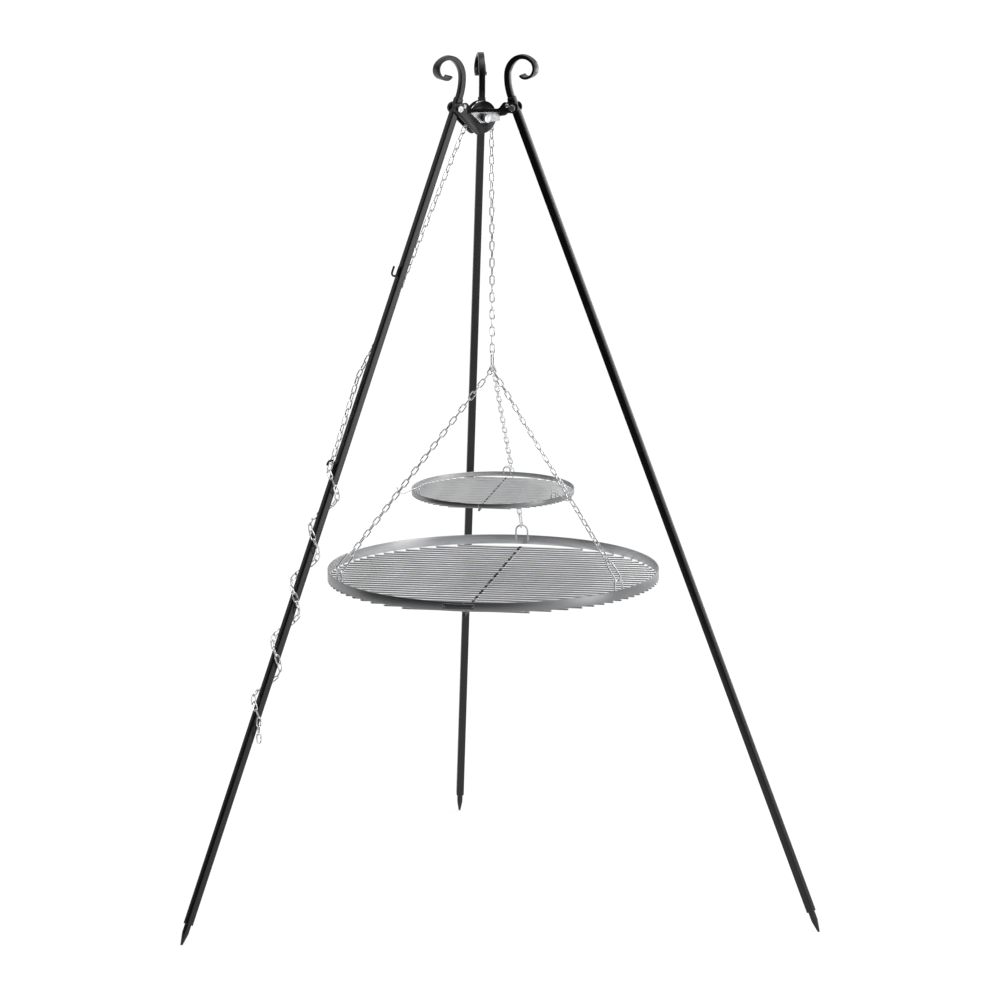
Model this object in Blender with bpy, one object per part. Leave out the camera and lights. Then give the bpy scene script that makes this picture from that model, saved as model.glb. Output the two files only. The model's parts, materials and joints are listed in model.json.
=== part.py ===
"""Tripod swing grill: three hinged steel legs, a chain wheel and two hanging grates.

Units are metres, +Z is up and the origin lies on the ground, under the middle of the feet.
The legs meet in a bolted head. A chain runs from the left leg over the wheel in that head and
carries a large and a small round grate on three drop chains.
"""

import math

import bmesh
import bpy
from mathutils import Matrix, Vector

MM = 0.001
GAP = 0.3 * MM
CUT = 1.0 * MM

# Legs: the back one is hinged lower on the head than the other two
LEG_LENGTH = 1842 * MM
FRONT_LEG_ANGLE = math.radians(22.35)
PIVOT_DROPS = {"left": 0, "right": 0, "back": 17.5 * MM}
LEG_ABOVE_PIVOT = 21 * MM
TUBE_SIDE = 16 * MM
TUBE_WALL = 2 * MM
PIVOT_RADIUS = 72 * MM
AZIMUTHS = {"left": 210, "right": 330, "back": 90}

# Foot spikes
SPIKE_PLUG = 30 * MM
SPIKE_STRAIGHT = 20 * MM
SPIKE_TAPER = 25 * MM
SPIKE_TIP = 4 * MM

# Scrolls: the bar's section at its foot and at its curl, the arcs that it follows, and the shares of
# its length over which it gets wider and thinner
SCROLL_FOOT = (13 * MM, 12.4 * MM)
SCROLL_CURL = (25 * MM, 5.6 * MM)
SCROLL_RADII = (115 * MM, 46 * MM, 30 * MM, 33 * MM, 20 * MM, 21 * MM, 12 * MM)
SCROLL_SWEEPS = (24.35, 50, 38, 40, 50, 90, 60)
SCROLL_STEP = 11.5
SCROLL_WIDENS = (0.5, 0.8)
SCROLL_THINS = (0.35, 0.8)

# Head
STRAP_THICKNESS = 3 * MM
EAR_RADIUS = 12 * MM
STRAP_BEND_RADIUS = 52 * MM
STRAP_TURN = math.radians(30)
NECK_TOP = 10.5 * MM
FRONT_DIP = (-10 * MM, -3 * MM)
REAR_DIP = (-20 * MM, -9 * MM)
DIP_SLOPE = 14 * MM
PIVOT_BOLT = 8 * MM
PIVOT_HEAD = (13 * MM, 5.3 * MM)
PIVOT_NUT_HEIGHT = 6.5 * MM
STOP_PIN = 5 * MM
STOP_PIN_HEAD = (9 * MM, 2 * MM)
STOP_PIN_HEIGHT = 3.5 * MM
PIN_CLEARANCE = 0.3 * MM

# Chain wheel
WHEEL_RADIUS = 34.6 * MM
WHEEL_WIDTH = 15.8 * MM
WHEEL_FLANGE = 1.3 * MM
WHEEL_OFFSET = 8.5 * MM
WHEEL_DROP = 25 * MM
WHEEL_RELIEF = (11 * MM, 3 * MM, 1.5 * MM)
WHEEL_SEGMENTS = 28
WHEEL_CHAIN_RADIUS = 27.5 * MM
AXLE = 10 * MM
AXLE_HEAD = (17 * MM, 6.4 * MM)
AXLE_NUT_HEIGHT = 8 * MM
AXLE_TAIL = 2.5 * MM
SPACER_LENGTH = 9.3 * MM
SPACER_RADIUS = 8.4 * MM
PLATE_THICKNESS = 3 * MM
PLATE_RISE = 13 * MM
PLATE_FALL = 11 * MM
PLATE_FOOT_REACH = 23.5 * MM
PLATE_SHOULDER = 4 * MM
BRACE_WIDTH = 24 * MM
BRACE_RUN = 50 * MM
BRACE_FALL = 49 * MM

# Chains
WIRE = 2.8 * MM
HOIST_PITCH = 17.8 * MM
DROP_PITCH = 16.5 * MM
LINK_HALF_WIDTH = 4.4 * MM
LINK_SHOULDER = 3.2 * MM
WIRE_TWIST = math.radians(9)
ROUTE_STEPS = 24
LINK_REACH = 0.4

# The hoist chain's way down the left leg: it changes from the inner to the outer side behind the leg
CHAIN_BESIDE_LEG = 14.4 * MM
CHAIN_OUT = 13 * MM
CHAIN_CROSSES = (474 * MM, 596 * MM)
CAUGHT_LINK_RISE = 0.9 * MM
TAIL_STRAIGHT = 24 * MM
TAIL_COIL_RADIUS = 17.6 * MM
TAIL_COIL_RISE = 127 * MM
TAIL_TURNS = 4.2
TAIL_DROP = 66 * MM

# Hanger ring and drop chains
RING_WIRE = 3.6 * MM
RING_HALF_WIDTH = 12 * MM
RING_LENGTH = 38 * MM
RING_BOTTOM_HEIGHT = 1137 * MM
DROP_AZIMUTHS = {"left": 195.5, "right": -44.5, "back": 75.5}
RING_AZIMUTH = DROP_AZIMUTHS["back"]
DROP_SEATS = {"right": -42, "left": 0, "back": 42}
END_LINK_LENGTH = 46 * MM
END_LINK_HALF_WIDTH = 8 * MM
END_LINK_WIRE = 3.6 * MM

# Grates: the small one's height follows from where its hooks reach the drop chains
RIM_SEGMENTS = 48
STRUT_BITE = 0.2
BIG = {
    "radius": 350 * MM, "top": 708.5 * MM, "height": 20 * MM, "wall": 3 * MM,
    "pitch": 21.5 * MM, "rod": 4.6 * MM, "rod_sides": 6, "strut": (5 * MM, 8 * MM),
    "bail_wire": 4 * MM, "bail_width": 25 * MM, "bail_rise": 22 * MM, "bail_foot": 12 * MM,
}
SMALL = {
    "radius": 171.5 * MM, "height": 10 * MM, "wall": 2 * MM,
    "pitch": 10.5 * MM, "rod": 2.6 * MM, "rod_sides": 4, "strut": (3 * MM, 5 * MM),
    "bail_wire": 3 * MM, "bail_width": 15 * MM, "bail_rise": 11 * MM, "bail_foot": 6 * MM,
}

# Wire hooks of the small grate: their bends are in shares of the bend radius, outward and upward
HOOK_WIRE = 2.4 * MM
HOOK_BEND = 3.84 * MM
HOOK_REACH = 28.75 * MM
HOOK_RISE = 12 * MM
HOOK_FOOT = ((-1.1, 1.7), (-0.8, 0.4), (0, 0), (1.3, 0.7))
HOOK_HEAD = ((-2.2, -1.5), (0, 0), (1, 1.1), (1.2, 2.4))

# Rod hooks welded on the left leg: distance from the pivot to the bend, which way they open, the
# distance between their two sides, and the length of the tip
LEG_HOOK_WIRE = 4.5 * MM
LEG_HOOK_WELD = 17 * MM
LEG_HOOKS = {
    "leg_hook_upper": (375 * MM, 1, 13 * MM, 14 * MM),
    "leg_hook_lower": (782 * MM, -1, 17.4 * MM, 5 * MM),
}

# Values worked out from the ones above
PIVOT_HEIGHT = LEG_LENGTH * math.cos(FRONT_LEG_ANGLE)
PIVOT_HEIGHTS = {side: PIVOT_HEIGHT - drop for side, drop in PIVOT_DROPS.items()}
LEG_ANGLES = {side: math.acos(height / LEG_LENGTH) for side, height in PIVOT_HEIGHTS.items()}
FOOT_RADII = {side: PIVOT_RADIUS + LEG_LENGTH * math.sin(angle) for side, angle in LEG_ANGLES.items()}
FOOT_DIAGONAL = SPIKE_TIP / 2 * (math.cos(math.radians(30)) + math.sin(math.radians(30)))
AXIS_Y = -(FOOT_RADII["back"] + SPIKE_TIP / 2 - FOOT_RADII["left"] / 2 - FOOT_DIAGONAL) / 2
EAR_INSIDE = TUBE_SIDE / 2 + GAP
EAR_OUTSIDE = EAR_INSIDE + STRAP_THICKNESS
BRACE_INSIDE = EAR_OUTSIDE + GAP
BRACE_OUTSIDE = BRACE_INSIDE + STRAP_THICKNESS
WHEEL_HEIGHT = PIVOT_HEIGHT - WHEEL_DROP
CHAIN_OFFSET = WHEEL_CHAIN_RADIUS - WHEEL_OFFSET
LINK_HALF_LENGTH_EXTRA = 0.4 * WIRE
LINK_CORNER = 0.6 * WIRE
LINK_SEAT = math.hypot(LINK_HALF_WIDTH, LINK_SHOULDER) / LINK_HALF_WIDTH
LOOSE = (2 * LINK_CORNER + GAP) * LINK_SEAT - 2 * LINK_HALF_LENGTH_EXTRA

COLOURS = {
    "black_paint": ((0.012, 0.012, 0.013, 1), 0.32, 0.0),
    "zinc": ((0.62, 0.63, 0.64, 1), 0.35, 1.0),
    "chain_zinc": ((0.66, 0.67, 0.68, 1), 0.3, 1.0),
    "bare_steel": ((0.52, 0.53, 0.54, 1), 0.38, 1.0),
}


def start_scene():
    """Empties the scene and makes the collections of the parts and of the cutters."""
    for obj in list(bpy.data.objects):
        bpy.data.objects.remove(obj)
    collections = []
    for name in ("tripod_grill", "cutters"):
        collection = bpy.data.collections.new(name)
        bpy.context.scene.collection.children.link(collection)
        collections.append(collection)
    return collections


PARTS, CUTTERS = start_scene()


def material(name):
    """The painted or plated finish of this name, made once."""
    found = bpy.data.materials.get(name)
    if found:
        return found
    colour, roughness, metallic = COLOURS[name]
    made = bpy.data.materials.new(name)
    made.use_nodes = True
    shader = made.node_tree.nodes["Principled BSDF"]
    shader.inputs["Base Color"].default_value = colour
    shader.inputs["Roughness"].default_value = roughness
    shader.inputs["Metallic"].default_value = metallic
    return made


def empty(name, matrix, parent=None):
    """A named empty that places the pieces parented to it."""
    guide = bpy.data.objects.new(name, None)
    PARTS.objects.link(guide)
    guide.parent = parent
    guide.matrix_local = matrix
    return guide


def add_object(name, data, finish, parent):
    """Links one piece under its empty, with its material."""
    obj = bpy.data.objects.new(name, data)
    (PARTS if finish else CUTTERS).objects.link(obj)
    obj.parent = parent
    if finish:
        data.materials.append(material(finish))
    else:
        obj.hide_render = True
        obj.display_type = "WIRE"
    return obj


def add_mesh(name, shape, finish, parent, smooth_angle=35):
    """Turns a bmesh into an object whose round faces are shaded smooth."""
    bmesh.ops.recalc_face_normals(shape, faces=shape.faces)
    data = bpy.data.meshes.new(name)
    shape.to_mesh(data)
    shape.free()
    data.shade_smooth()
    data.set_sharp_from_angle(angle=math.radians(smooth_angle))
    return add_object(name, data, finish, parent)


def boolean(obj, operation, tool):
    """Adds a Boolean modifier that cuts or joins the tool."""
    step = obj.modifiers.new(tool.name, "BOOLEAN")
    step.operation = operation
    step.object = tool
    step.solver = "EXACT"


def skin(shape, rings, closed=False):
    """Joins rings of equally many points with quads, capped at both ends unless closed."""
    loops = [[shape.verts.new(point) for point in ring] for ring in rings]
    count = len(loops[0])
    pairs = list(zip(loops, loops[1:]))
    if closed:
        pairs.append((loops[-1], loops[0]))
    else:
        shape.faces.new(loops[0])
        shape.faces.new(list(reversed(loops[-1])))
    for low, high in pairs:
        for i in range(count):
            j = (i + 1) % count
            shape.faces.new((low[i], low[j], high[j], high[i]))


def loft(name, rings, finish, parent):
    """A solid skinned over rings of points."""
    shape = bmesh.new()
    skin(shape, rings)
    return add_mesh(name, shape, finish, parent)


def circle_points(radius, sides=12):
    """Points of a circle in the XY plane."""
    angles = [math.tau * i / sides for i in range(sides)]
    return [Vector((radius * math.cos(a), radius * math.sin(a), 0)) for a in angles]


def hexagon_points(flats):
    """Twelve points of a hexagon: its corners and the middles of its sides."""
    reaches = (flats / math.sqrt(3), flats / 2)
    return [point * reaches[i % 2] for i, point in enumerate(circle_points(1, 12))]


def at_height(points, height):
    """The same ring of points, at this height."""
    return [Vector((p.x, p.y, height)) for p in points]


def bolt(name, head, diameter, length, finish, parent, hexagonal=True):
    """A bolt along +Z: its head ends at zero and its shank runs up to the length."""
    width, height = head
    outline = hexagon_points(width) if hexagonal else circle_points(width / 2)
    shank = circle_points(diameter / 2)
    rings = [
        at_height(outline, -height), at_height(outline, 0),
        at_height(shank, 0), at_height(shank, length),
    ]
    return loft(name, rings, finish, parent)


def sleeve(name, outside, inside, low, high, finish, parent):
    """A tube or nut between two outlines of equally many points."""
    shape = bmesh.new()
    rings = [at_height(inside, low), at_height(outside, low), at_height(outside, high), at_height(inside, high)]
    skin(shape, rings, closed=True)
    return add_mesh(name, shape, finish, parent)


def cylinder_cutter(name, places, radius, length, parent):
    """Round cutters along local Y at the given XZ places, in one object."""
    shape = bmesh.new()
    for x, z, y in places:
        move = Matrix.Translation((x, y, z)) @ Matrix.Rotation(math.radians(90), 4, "X")
        bmesh.ops.create_cone(
            shape, cap_ends=True, segments=12, radius1=radius, radius2=radius, depth=length, matrix=move
        )
    return add_mesh(name, shape, None, parent)


def wire(name, points, diameter, finish, parent, cyclic=False, resolution=1):
    """A bent rod: a poly spline with a round bevel and filled caps."""
    data = bpy.data.curves.new(name, "CURVE")
    data.dimensions = "3D"
    data.bevel_depth = diameter / 2
    data.bevel_resolution = resolution
    data.use_fill_caps = True
    spline = data.splines.new("POLY")
    spline.points.add(len(points) - 1)
    for target, point in zip(spline.points, points):
        target.co = (*point, 1)
    spline.use_cyclic_u = cyclic
    return add_object(name, data, finish, parent)


def plate(name, outlines, thickness, finish, parent):
    """A flat plate in the local XZ plane, centred on its thickness; later outlines are holes."""
    data = bpy.data.curves.new(name, "CURVE")
    data.dimensions = "2D"
    data.fill_mode = "BOTH"
    data.extrude = thickness / 2
    for outline in outlines:
        spline = data.splines.new("POLY")
        spline.points.add(len(outline) - 1)
        for target, (x, z) in zip(spline.points, outline):
            target.co = (x, z, 0, 1)
        spline.use_cyclic_u = True
    obj = add_object(name, data, finish, parent)
    obj.rotation_euler = (math.radians(90), 0, 0)
    return obj


def arc(centre, radius, start, end, steps):
    """Points of an arc in a plane, from one angle to another in degrees."""
    angles = [math.radians(start + (end - start) * i / steps) for i in range(steps + 1)]
    return [(centre[0] + radius * math.cos(a), centre[1] + radius * math.sin(a)) for a in angles]


def radial(azimuth):
    """Horizontal unit vector that points out at this azimuth in degrees."""
    angle = math.radians(azimuth)
    return Vector((math.cos(angle), math.sin(angle), 0))


def upright_frame(azimuth):
    """Frame on the tripod's axis at ground level: X points out at the azimuth and Z up."""
    return Matrix.Rotation(math.radians(azimuth), 4, "Z")


def leg_frame(side):
    """Frame in a leg's pivot: X is normal to its outer face, Y is the bolt's axis, Z runs up it."""
    pivot = Matrix.Translation((PIVOT_RADIUS, 0, PIVOT_HEIGHTS[side]))
    return upright_frame(AZIMUTHS[side]) @ pivot @ Matrix.Rotation(-LEG_ANGLES[side], 4, "Y")


def square(half):
    """The corners of a square in the XY plane."""
    return [Vector((x * half, y * half, 0)) for x, y in ((1, 1), (-1, 1), (-1, -1), (1, -1))]


def make_tube(side, frame):
    """The leg's square tube, open at both ends and drilled for the pivot bolt."""
    outside, inside = square(TUBE_SIDE / 2), square(TUBE_SIDE / 2 - TUBE_WALL)
    foot = -LEG_LENGTH + SPIKE_STRAIGHT + SPIKE_TAPER
    tube = sleeve(f"leg_tube_{side}", outside, inside, foot, LEG_ABOVE_PIVOT, "black_paint", frame)
    hole = PIVOT_BOLT / 2 + PIN_CLEARANCE
    cutter = cylinder_cutter(f"cut_tube_{side}", [(0, 0, 0)], hole, TUBE_SIDE + 2 * CUT, frame)
    boolean(tube, "DIFFERENCE", cutter)


def make_spike(side, frame):
    """The solid foot: a bar plugged into the tube, tapered to a small tip that is flat on the ground."""
    half = TUBE_SIDE / 2 - TUBE_WALL - GAP
    start = -LEG_LENGTH + SPIKE_STRAIGHT + SPIKE_TAPER + SPIKE_PLUG
    shoulder = -LEG_LENGTH + SPIKE_TAPER
    level = Matrix.Translation((0, 0, -LEG_LENGTH)) @ Matrix.Rotation(LEG_ANGLES[side], 4, "Y")
    tip = [level @ corner for corner in square(SPIKE_TIP / 2)]
    rings = [tip, at_height(square(half), shoulder), at_height(square(half), start)]
    loft(f"foot_spike_{side}", rings, "black_paint", frame)


def scroll_stations(leg_angle):
    """Stations along the scroll: outward place, height, heading and share of the whole length."""
    heading = -leg_angle
    out, up = 0.0, 0.0
    stations = [(out, up, heading, 0.0)]
    travelled = 0.0
    for radius, sweep in zip(SCROLL_RADII, SCROLL_SWEEPS):
        steps = math.ceil(sweep / SCROLL_STEP)
        turn = math.radians(sweep) / steps
        for _ in range(steps):
            after = heading + turn
            out += radius * (math.cos(heading) - math.cos(after))
            up += radius * (math.sin(after) - math.sin(heading))
            heading = after
            travelled += radius * turn
            stations.append((out, up, heading, travelled))
    return [(o, u, h, t / travelled) for o, u, h, t in stations]


def eased(value, limits):
    """How far a value is between two limits, from zero to one, with a soft start and end."""
    low, high = limits
    share = min(1.0, max(0.0, (value - low) / (high - low)))
    return share * share * (3 - 2 * share)


def make_scroll(side, frame):
    """The square bar welded on the tube's end, flattened towards its rolled tip."""
    rings = []
    foot = Matrix.Translation((0, 0, LEG_ABOVE_PIVOT + GAP)) @ Matrix.Rotation(LEG_ANGLES[side], 4, "Y")
    for out, up, heading, share in scroll_stations(LEG_ANGLES[side]):
        width = SCROLL_FOOT[0] + (SCROLL_CURL[0] - SCROLL_FOOT[0]) * eased(share, SCROLL_WIDENS)
        depth = SCROLL_FOOT[1] + (SCROLL_CURL[1] - SCROLL_FOOT[1]) * eased(share, SCROLL_THINS)
        across = Vector((math.cos(heading), 0, -math.sin(heading)))
        centre = Vector((out, 0, up))
        ring = []
        for x, y in ((1, 1), (-1, 1), (-1, -1), (1, -1)):
            ring.append(foot @ (centre + across * x * depth / 2 + Vector((0, y * width / 2, 0))))
        rings.append(ring)
    loft(f"scroll_{side}", rings, "black_paint", frame)


def strap_profile(dip):
    """Half a strap's outline: distance along the plate from its pivot, low edge and high edge."""
    low_dip, high_dip = dip
    stations = []
    for angle in (12, 35, 60, 90):
        reach = EAR_RADIUS * math.cos(math.radians(angle))
        rise = EAR_RADIUS * math.sin(math.radians(angle))
        stations.append((-reach, -rise, rise))
    bend = PIVOT_RADIUS - STRAP_BEND_RADIUS
    stations.append((EAR_RADIUS / 2, -EAR_RADIUS, NECK_TOP))
    stations.append((bend, (low_dip - EAR_RADIUS) / 2, NECK_TOP))
    for step in (0.25, 0.5, 0.75, 1):
        ease = (1 - math.cos(math.pi * step)) / 2
        low = (low_dip - EAR_RADIUS) / 2 + (low_dip + EAR_RADIUS) / 2 * ease
        stations.append((bend + DIP_SLOPE * step, low, NECK_TOP + (high_dip - NECK_TOP) * ease))
    return stations


def strap_distance():
    """Distance from the tripod's axis to the middle run of a strap."""
    offset = EAR_INSIDE + STRAP_THICKNESS / 2
    return STRAP_BEND_RADIUS * math.sin(STRAP_TURN) + offset * math.cos(STRAP_TURN)


def strap_run():
    """Length of a strap's middle run, from bend to bend."""
    offset = EAR_INSIDE + STRAP_THICKNESS / 2
    return 2 * (STRAP_BEND_RADIUS * math.cos(STRAP_TURN) - offset * math.sin(STRAP_TURN))


def make_strap(name, dip, near_side, far_side):
    """A strap bent round one side of the head, with an ear for the leg at each end."""
    frame = SIDES[near_side]
    offset = EAR_INSIDE + STRAP_THICKNESS / 2
    half = STRAP_THICKNESS / 2
    bend = PIVOT_RADIUS - STRAP_BEND_RADIUS
    corner = Vector((STRAP_BEND_RADIUS, offset, 0))
    ear_axis = Vector((0, 1, 0))
    middle = math.pi / 2 - STRAP_TURN
    run_axis = Vector((math.cos(middle), math.sin(middle), 0))
    along_run = Vector((-math.sin(middle), math.cos(middle), 0))

    def rings_from(start_height, end_height):
        rings = []
        for along, low, high in strap_profile(dip):
            share = max(0.0, along - bend) / strap_run()
            height = start_height + (end_height - start_height) * share
            if along <= bend:
                centre, push = Vector((PIVOT_RADIUS - along, offset, 0)), ear_axis * half
            else:
                centre, push = corner + along_run * (along - bend), run_axis * half
            if abs(along - bend) < 1e-9:
                mitre = (ear_axis + run_axis).normalized()
                push = mitre * half / mitre.y
            down, up = Vector((0, 0, height + low)), Vector((0, 0, height + high))
            rings.append([centre - push + down, centre + push + down, centre + push + up, centre - push + up])
        return rings

    def mirrored(point):
        flat = Vector((point.x, point.y, 0))
        swapped = flat - 2 * flat.dot(along_run) * along_run
        return Vector((swapped.x, swapped.y, point.z))

    near_height, far_height = PIVOT_HEIGHTS[near_side], PIVOT_HEIGHTS[far_side]
    near = rings_from(near_height, far_height)
    far = [[mirrored(point) for point in ring] for ring in reversed(rings_from(far_height, near_height))]
    strap = loft(name, near + far, "black_paint", frame)
    shape = bmesh.new()
    for side, turned, sign in ((near_side, 0, 1), (far_side, 120, -1)):
        holes = (
            (PIVOT_RADIUS, 0.0, PIVOT_BOLT / 2 + PIN_CLEARANCE),
            (stop_pin_radius(side), STOP_PIN_HEIGHT, STOP_PIN / 2 + PIN_CLEARANCE),
        )
        for x, rise, radius in holes:
            centre = Matrix.Translation((x, sign * offset, PIVOT_HEIGHTS[side] + rise))
            place = upright_frame(turned) @ centre @ Matrix.Rotation(math.radians(90), 4, "X")
            bmesh.ops.create_cone(
                shape, cap_ends=True, segments=12, radius1=radius, radius2=radius,
                depth=STRAP_THICKNESS + 2 * CUT, matrix=place,
            )
    boolean(strap, "DIFFERENCE", add_mesh(f"cut_{name}", shape, None, frame))


def stop_pin_radius(side):
    """Distance from the tripod's axis to the pin that the spread leg's inner face rests on."""
    angle = LEG_ANGLES[side]
    face = PIVOT_RADIUS - TUBE_SIDE / 2 / math.cos(angle) - STOP_PIN_HEIGHT * math.tan(angle)
    return face - (STOP_PIN / 2 + GAP) / math.cos(angle)


def across_frame(name, x, z, start, frame, towards=1):
    """An empty whose Z runs along the parent's Y from the given place, or against it."""
    turn = Matrix.Rotation(math.radians(-90 * towards), 4, "X")
    return empty(name, Matrix.Translation((x, start * towards, z)) @ turn, frame)


def make_leg_fasteners(side, frame, outside, towards):
    """The pivot bolt with its nut, and the riveted stop pin between the ears."""
    pivot = PIVOT_HEIGHTS[side]
    place = across_frame(f"at_pivot_bolt_{side}", PIVOT_RADIUS, pivot, -outside - GAP, frame, towards)
    grip = 2 * (outside + GAP)
    tail = PIVOT_NUT_HEIGHT + 2 * GAP + PIVOT_BOLT / 4
    bolt(f"pivot_bolt_{side}", PIVOT_HEAD, PIVOT_BOLT, grip + tail, "zinc", place)
    inside = circle_points(PIVOT_BOLT / 2 + GAP)
    sleeve(f"pivot_nut_{side}", hexagon_points(PIVOT_HEAD[0]), inside, grip, grip + PIVOT_NUT_HEIGHT, "zinc", place)
    height = pivot + STOP_PIN_HEIGHT
    pin = across_frame(f"at_stop_pin_{side}", stop_pin_radius(side), height, -outside - GAP, frame, towards)
    bolt(f"stop_pin_{side}", STOP_PIN_HEAD, STOP_PIN, grip, "zinc", pin, hexagonal=False)


def make_wheel(frame):
    """The chain wheel: deep groove, two flanges and a relieved web, turned about its axle."""
    half = WHEEL_WIDTH / 2
    groove = half - WHEEL_FLANGE
    bottom = WHEEL_CHAIN_RADIUS - LINK_HALF_WIDTH - LINK_CORNER - GAP
    bore = AXLE / 2 + PIN_CLEARANCE
    hub, tread, depth = WHEEL_RELIEF
    side = [(bore, half), (hub, half), (hub + depth, half - depth)]
    side += [(bottom - tread, half - depth), (bottom - tread + depth, half), (WHEEL_RADIUS, half)]
    outline = side + [(WHEEL_RADIUS, groove), (bottom, groove), (bottom, -groove), (WHEEL_RADIUS, -groove)]
    outline += [(x, -y) for x, y in reversed(side)]
    shape = bmesh.new()
    rings = []
    for i in range(WHEEL_SEGMENTS):
        angle = math.tau * i / WHEEL_SEGMENTS
        rings.append([Vector((x * math.cos(angle), y, x * math.sin(angle))) for x, y in outline])
    skin(shape, rings, closed=True)
    place = empty("at_wheel", Matrix.Translation((WHEEL_OFFSET, 0, WHEEL_HEIGHT)), frame)
    add_mesh("pulley_wheel", shape, "black_paint", place)


def make_wheel_plates(frame):
    """The two zinc plates that hold the axle, under the rear strap, and the braces to the left leg."""
    top, foot = WHEEL_HEIGHT + PLATE_RISE, WHEEL_HEIGHT - PLATE_FALL
    butt = -(strap_distance() - STRAP_THICKNESS / 2 - GAP)
    skew = (STRAP_THICKNESS / 2 / math.cos(STRAP_TURN) + PLATE_THICKNESS / 2 + GAP) / math.tan(STRAP_TURN)
    end = STRAP_BEND_RADIUS - skew
    outline = [
        (butt, top), (butt, foot), (PLATE_FOOT_REACH, foot), (end, top - PLATE_SHOULDER), (end, top),
    ]
    hole = arc((WHEEL_OFFSET, WHEEL_HEIGHT), AXLE / 2 + PIN_CLEARANCE, 0, 330, 11)
    place = PLATE_THICKNESS / 2 + EAR_INSIDE
    for name, sign, dip, drop in (("near", 1, FRONT_DIP, 0), ("far", -1, REAR_DIP, PIVOT_DROPS["back"])):
        plate(f"pulley_plate_{name}", [outline, hole], PLATE_THICKNESS, "zinc", frame).location.y = sign * place
        slope = drop * BRACE_OUTSIDE / strap_run()
        ceiling = PIVOT_HEIGHT + min(dip[0], (dip[0] - EAR_RADIUS) / 2) - slope - GAP
        make_brace(f"brace_{name}", sign * (BRACE_INSIDE + STRAP_THICKNESS / 2), ceiling, frame)


def make_brace(name, place, ceiling, frame):
    """A flat brace from the left pivot bolt down beside the wheel plate, notched under the strap."""
    half = BRACE_WIDTH / 2
    slope = math.degrees(math.atan2(-BRACE_FALL, -BRACE_RUN))
    pivot = (PIVOT_RADIUS, PIVOT_HEIGHT)
    end = (PIVOT_RADIUS - BRACE_RUN, PIVOT_HEIGHT - BRACE_FALL)
    notch = STRAP_BEND_RADIUS + STRAP_THICKNESS / 2 * math.tan(STRAP_TURN / 2) + GAP
    foot = arc(end, half, slope + 270, slope + 450, 8)
    outline = arc(pivot, half, slope + 90, 90, 7)
    outline += [(notch, PIVOT_HEIGHT + NECK_TOP), (notch, ceiling)]
    outline.append((foot[0][0] + (ceiling - foot[0][1]) * BRACE_RUN / BRACE_FALL, ceiling))
    outline += foot
    bolt_hole = arc(pivot, PIVOT_BOLT / 2 + PIN_CLEARANCE, 0, 330, 11)
    pin = (stop_pin_radius("left"), PIVOT_HEIGHT + STOP_PIN_HEIGHT)
    pin_hole = arc(pin, STOP_PIN / 2 + PIN_CLEARANCE, 0, 330, 11)
    plate(name, [outline, bolt_hole, pin_hole], STRAP_THICKNESS, "black_paint", frame).location.y = place


def make_axle(frame):
    """The axle bolt through both plates, with the spacer under its head and a nut behind."""
    outside = EAR_OUTSIDE
    head = outside + SPACER_LENGTH + 2 * GAP
    place = across_frame("at_axle", WHEEL_OFFSET, WHEEL_HEIGHT, -head, frame, -1)
    nut_low = head + outside + GAP
    length = nut_low + AXLE_NUT_HEIGHT + AXLE_TAIL
    bolt("axle_bolt", AXLE_HEAD, AXLE, length, "zinc", place)
    bore = circle_points(AXLE / 2 + PIN_CLEARANCE)
    sleeve("axle_spacer", circle_points(SPACER_RADIUS), bore, GAP, GAP + SPACER_LENGTH, "black_paint", place)
    sleeve("axle_nut", hexagon_points(AXLE_HEAD[0]), bore, nut_low, nut_low + AXLE_NUT_HEIGHT, "zinc", place)


def link_mesh(shape, matrix, pitch):
    """One chain link, in the matrix's XY plane and along its X, its wire's corners off that plane."""
    half = pitch / 2 + LINK_HALF_LENGTH_EXTRA
    side = half - LINK_SHOULDER
    middle = [
        (half, 0), (side, LINK_HALF_WIDTH), (-side, LINK_HALF_WIDTH),
        (-half, 0), (-side, -LINK_HALF_WIDTH), (side, -LINK_HALF_WIDTH),
    ]
    rings = []
    for i, (x, y) in enumerate(middle):
        before, after = Vector(middle[i - 1]), Vector(middle[(i + 1) % 6])
        here = Vector((x, y))
        first, second = (here - before).normalized(), (after - here).normalized()
        outward = (first - second).normalized()
        stretch = 1 / max(0.5, math.sqrt((1 + first.dot(second)) / 2))
        ring = []
        for angle in (180, 60, -60):
            turn = math.radians(angle) + WIRE_TWIST
            flat = outward * LINK_CORNER * math.cos(turn) * stretch
            ring.append(matrix @ Vector((x + flat.x, y + flat.y, LINK_CORNER * math.sin(turn))))
        rings.append(ring)
    skin(shape, rings, closed=True)


def along_route(route, distance):
    """Place, direction and side vector at a distance along a route of (point, side) pairs."""
    for (a, side_a), (b, side_b) in zip(route, route[1:]):
        step = (b - a).length
        if distance <= step or (b, side_b) is route[-1]:
            share = distance / step
            return a.lerp(b, share), (b - a).normalized(), side_a.lerp(side_b, share)
        distance -= step
    a, b = route[-2][0], route[-1][0]
    return b + (b - a).normalized() * distance, (b - a).normalized(), route[-1][1]


def route_length(route):
    """Length of a route of (point, side) pairs."""
    return sum((b[0] - a[0]).length for a, b in zip(route, route[1:]))


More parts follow.
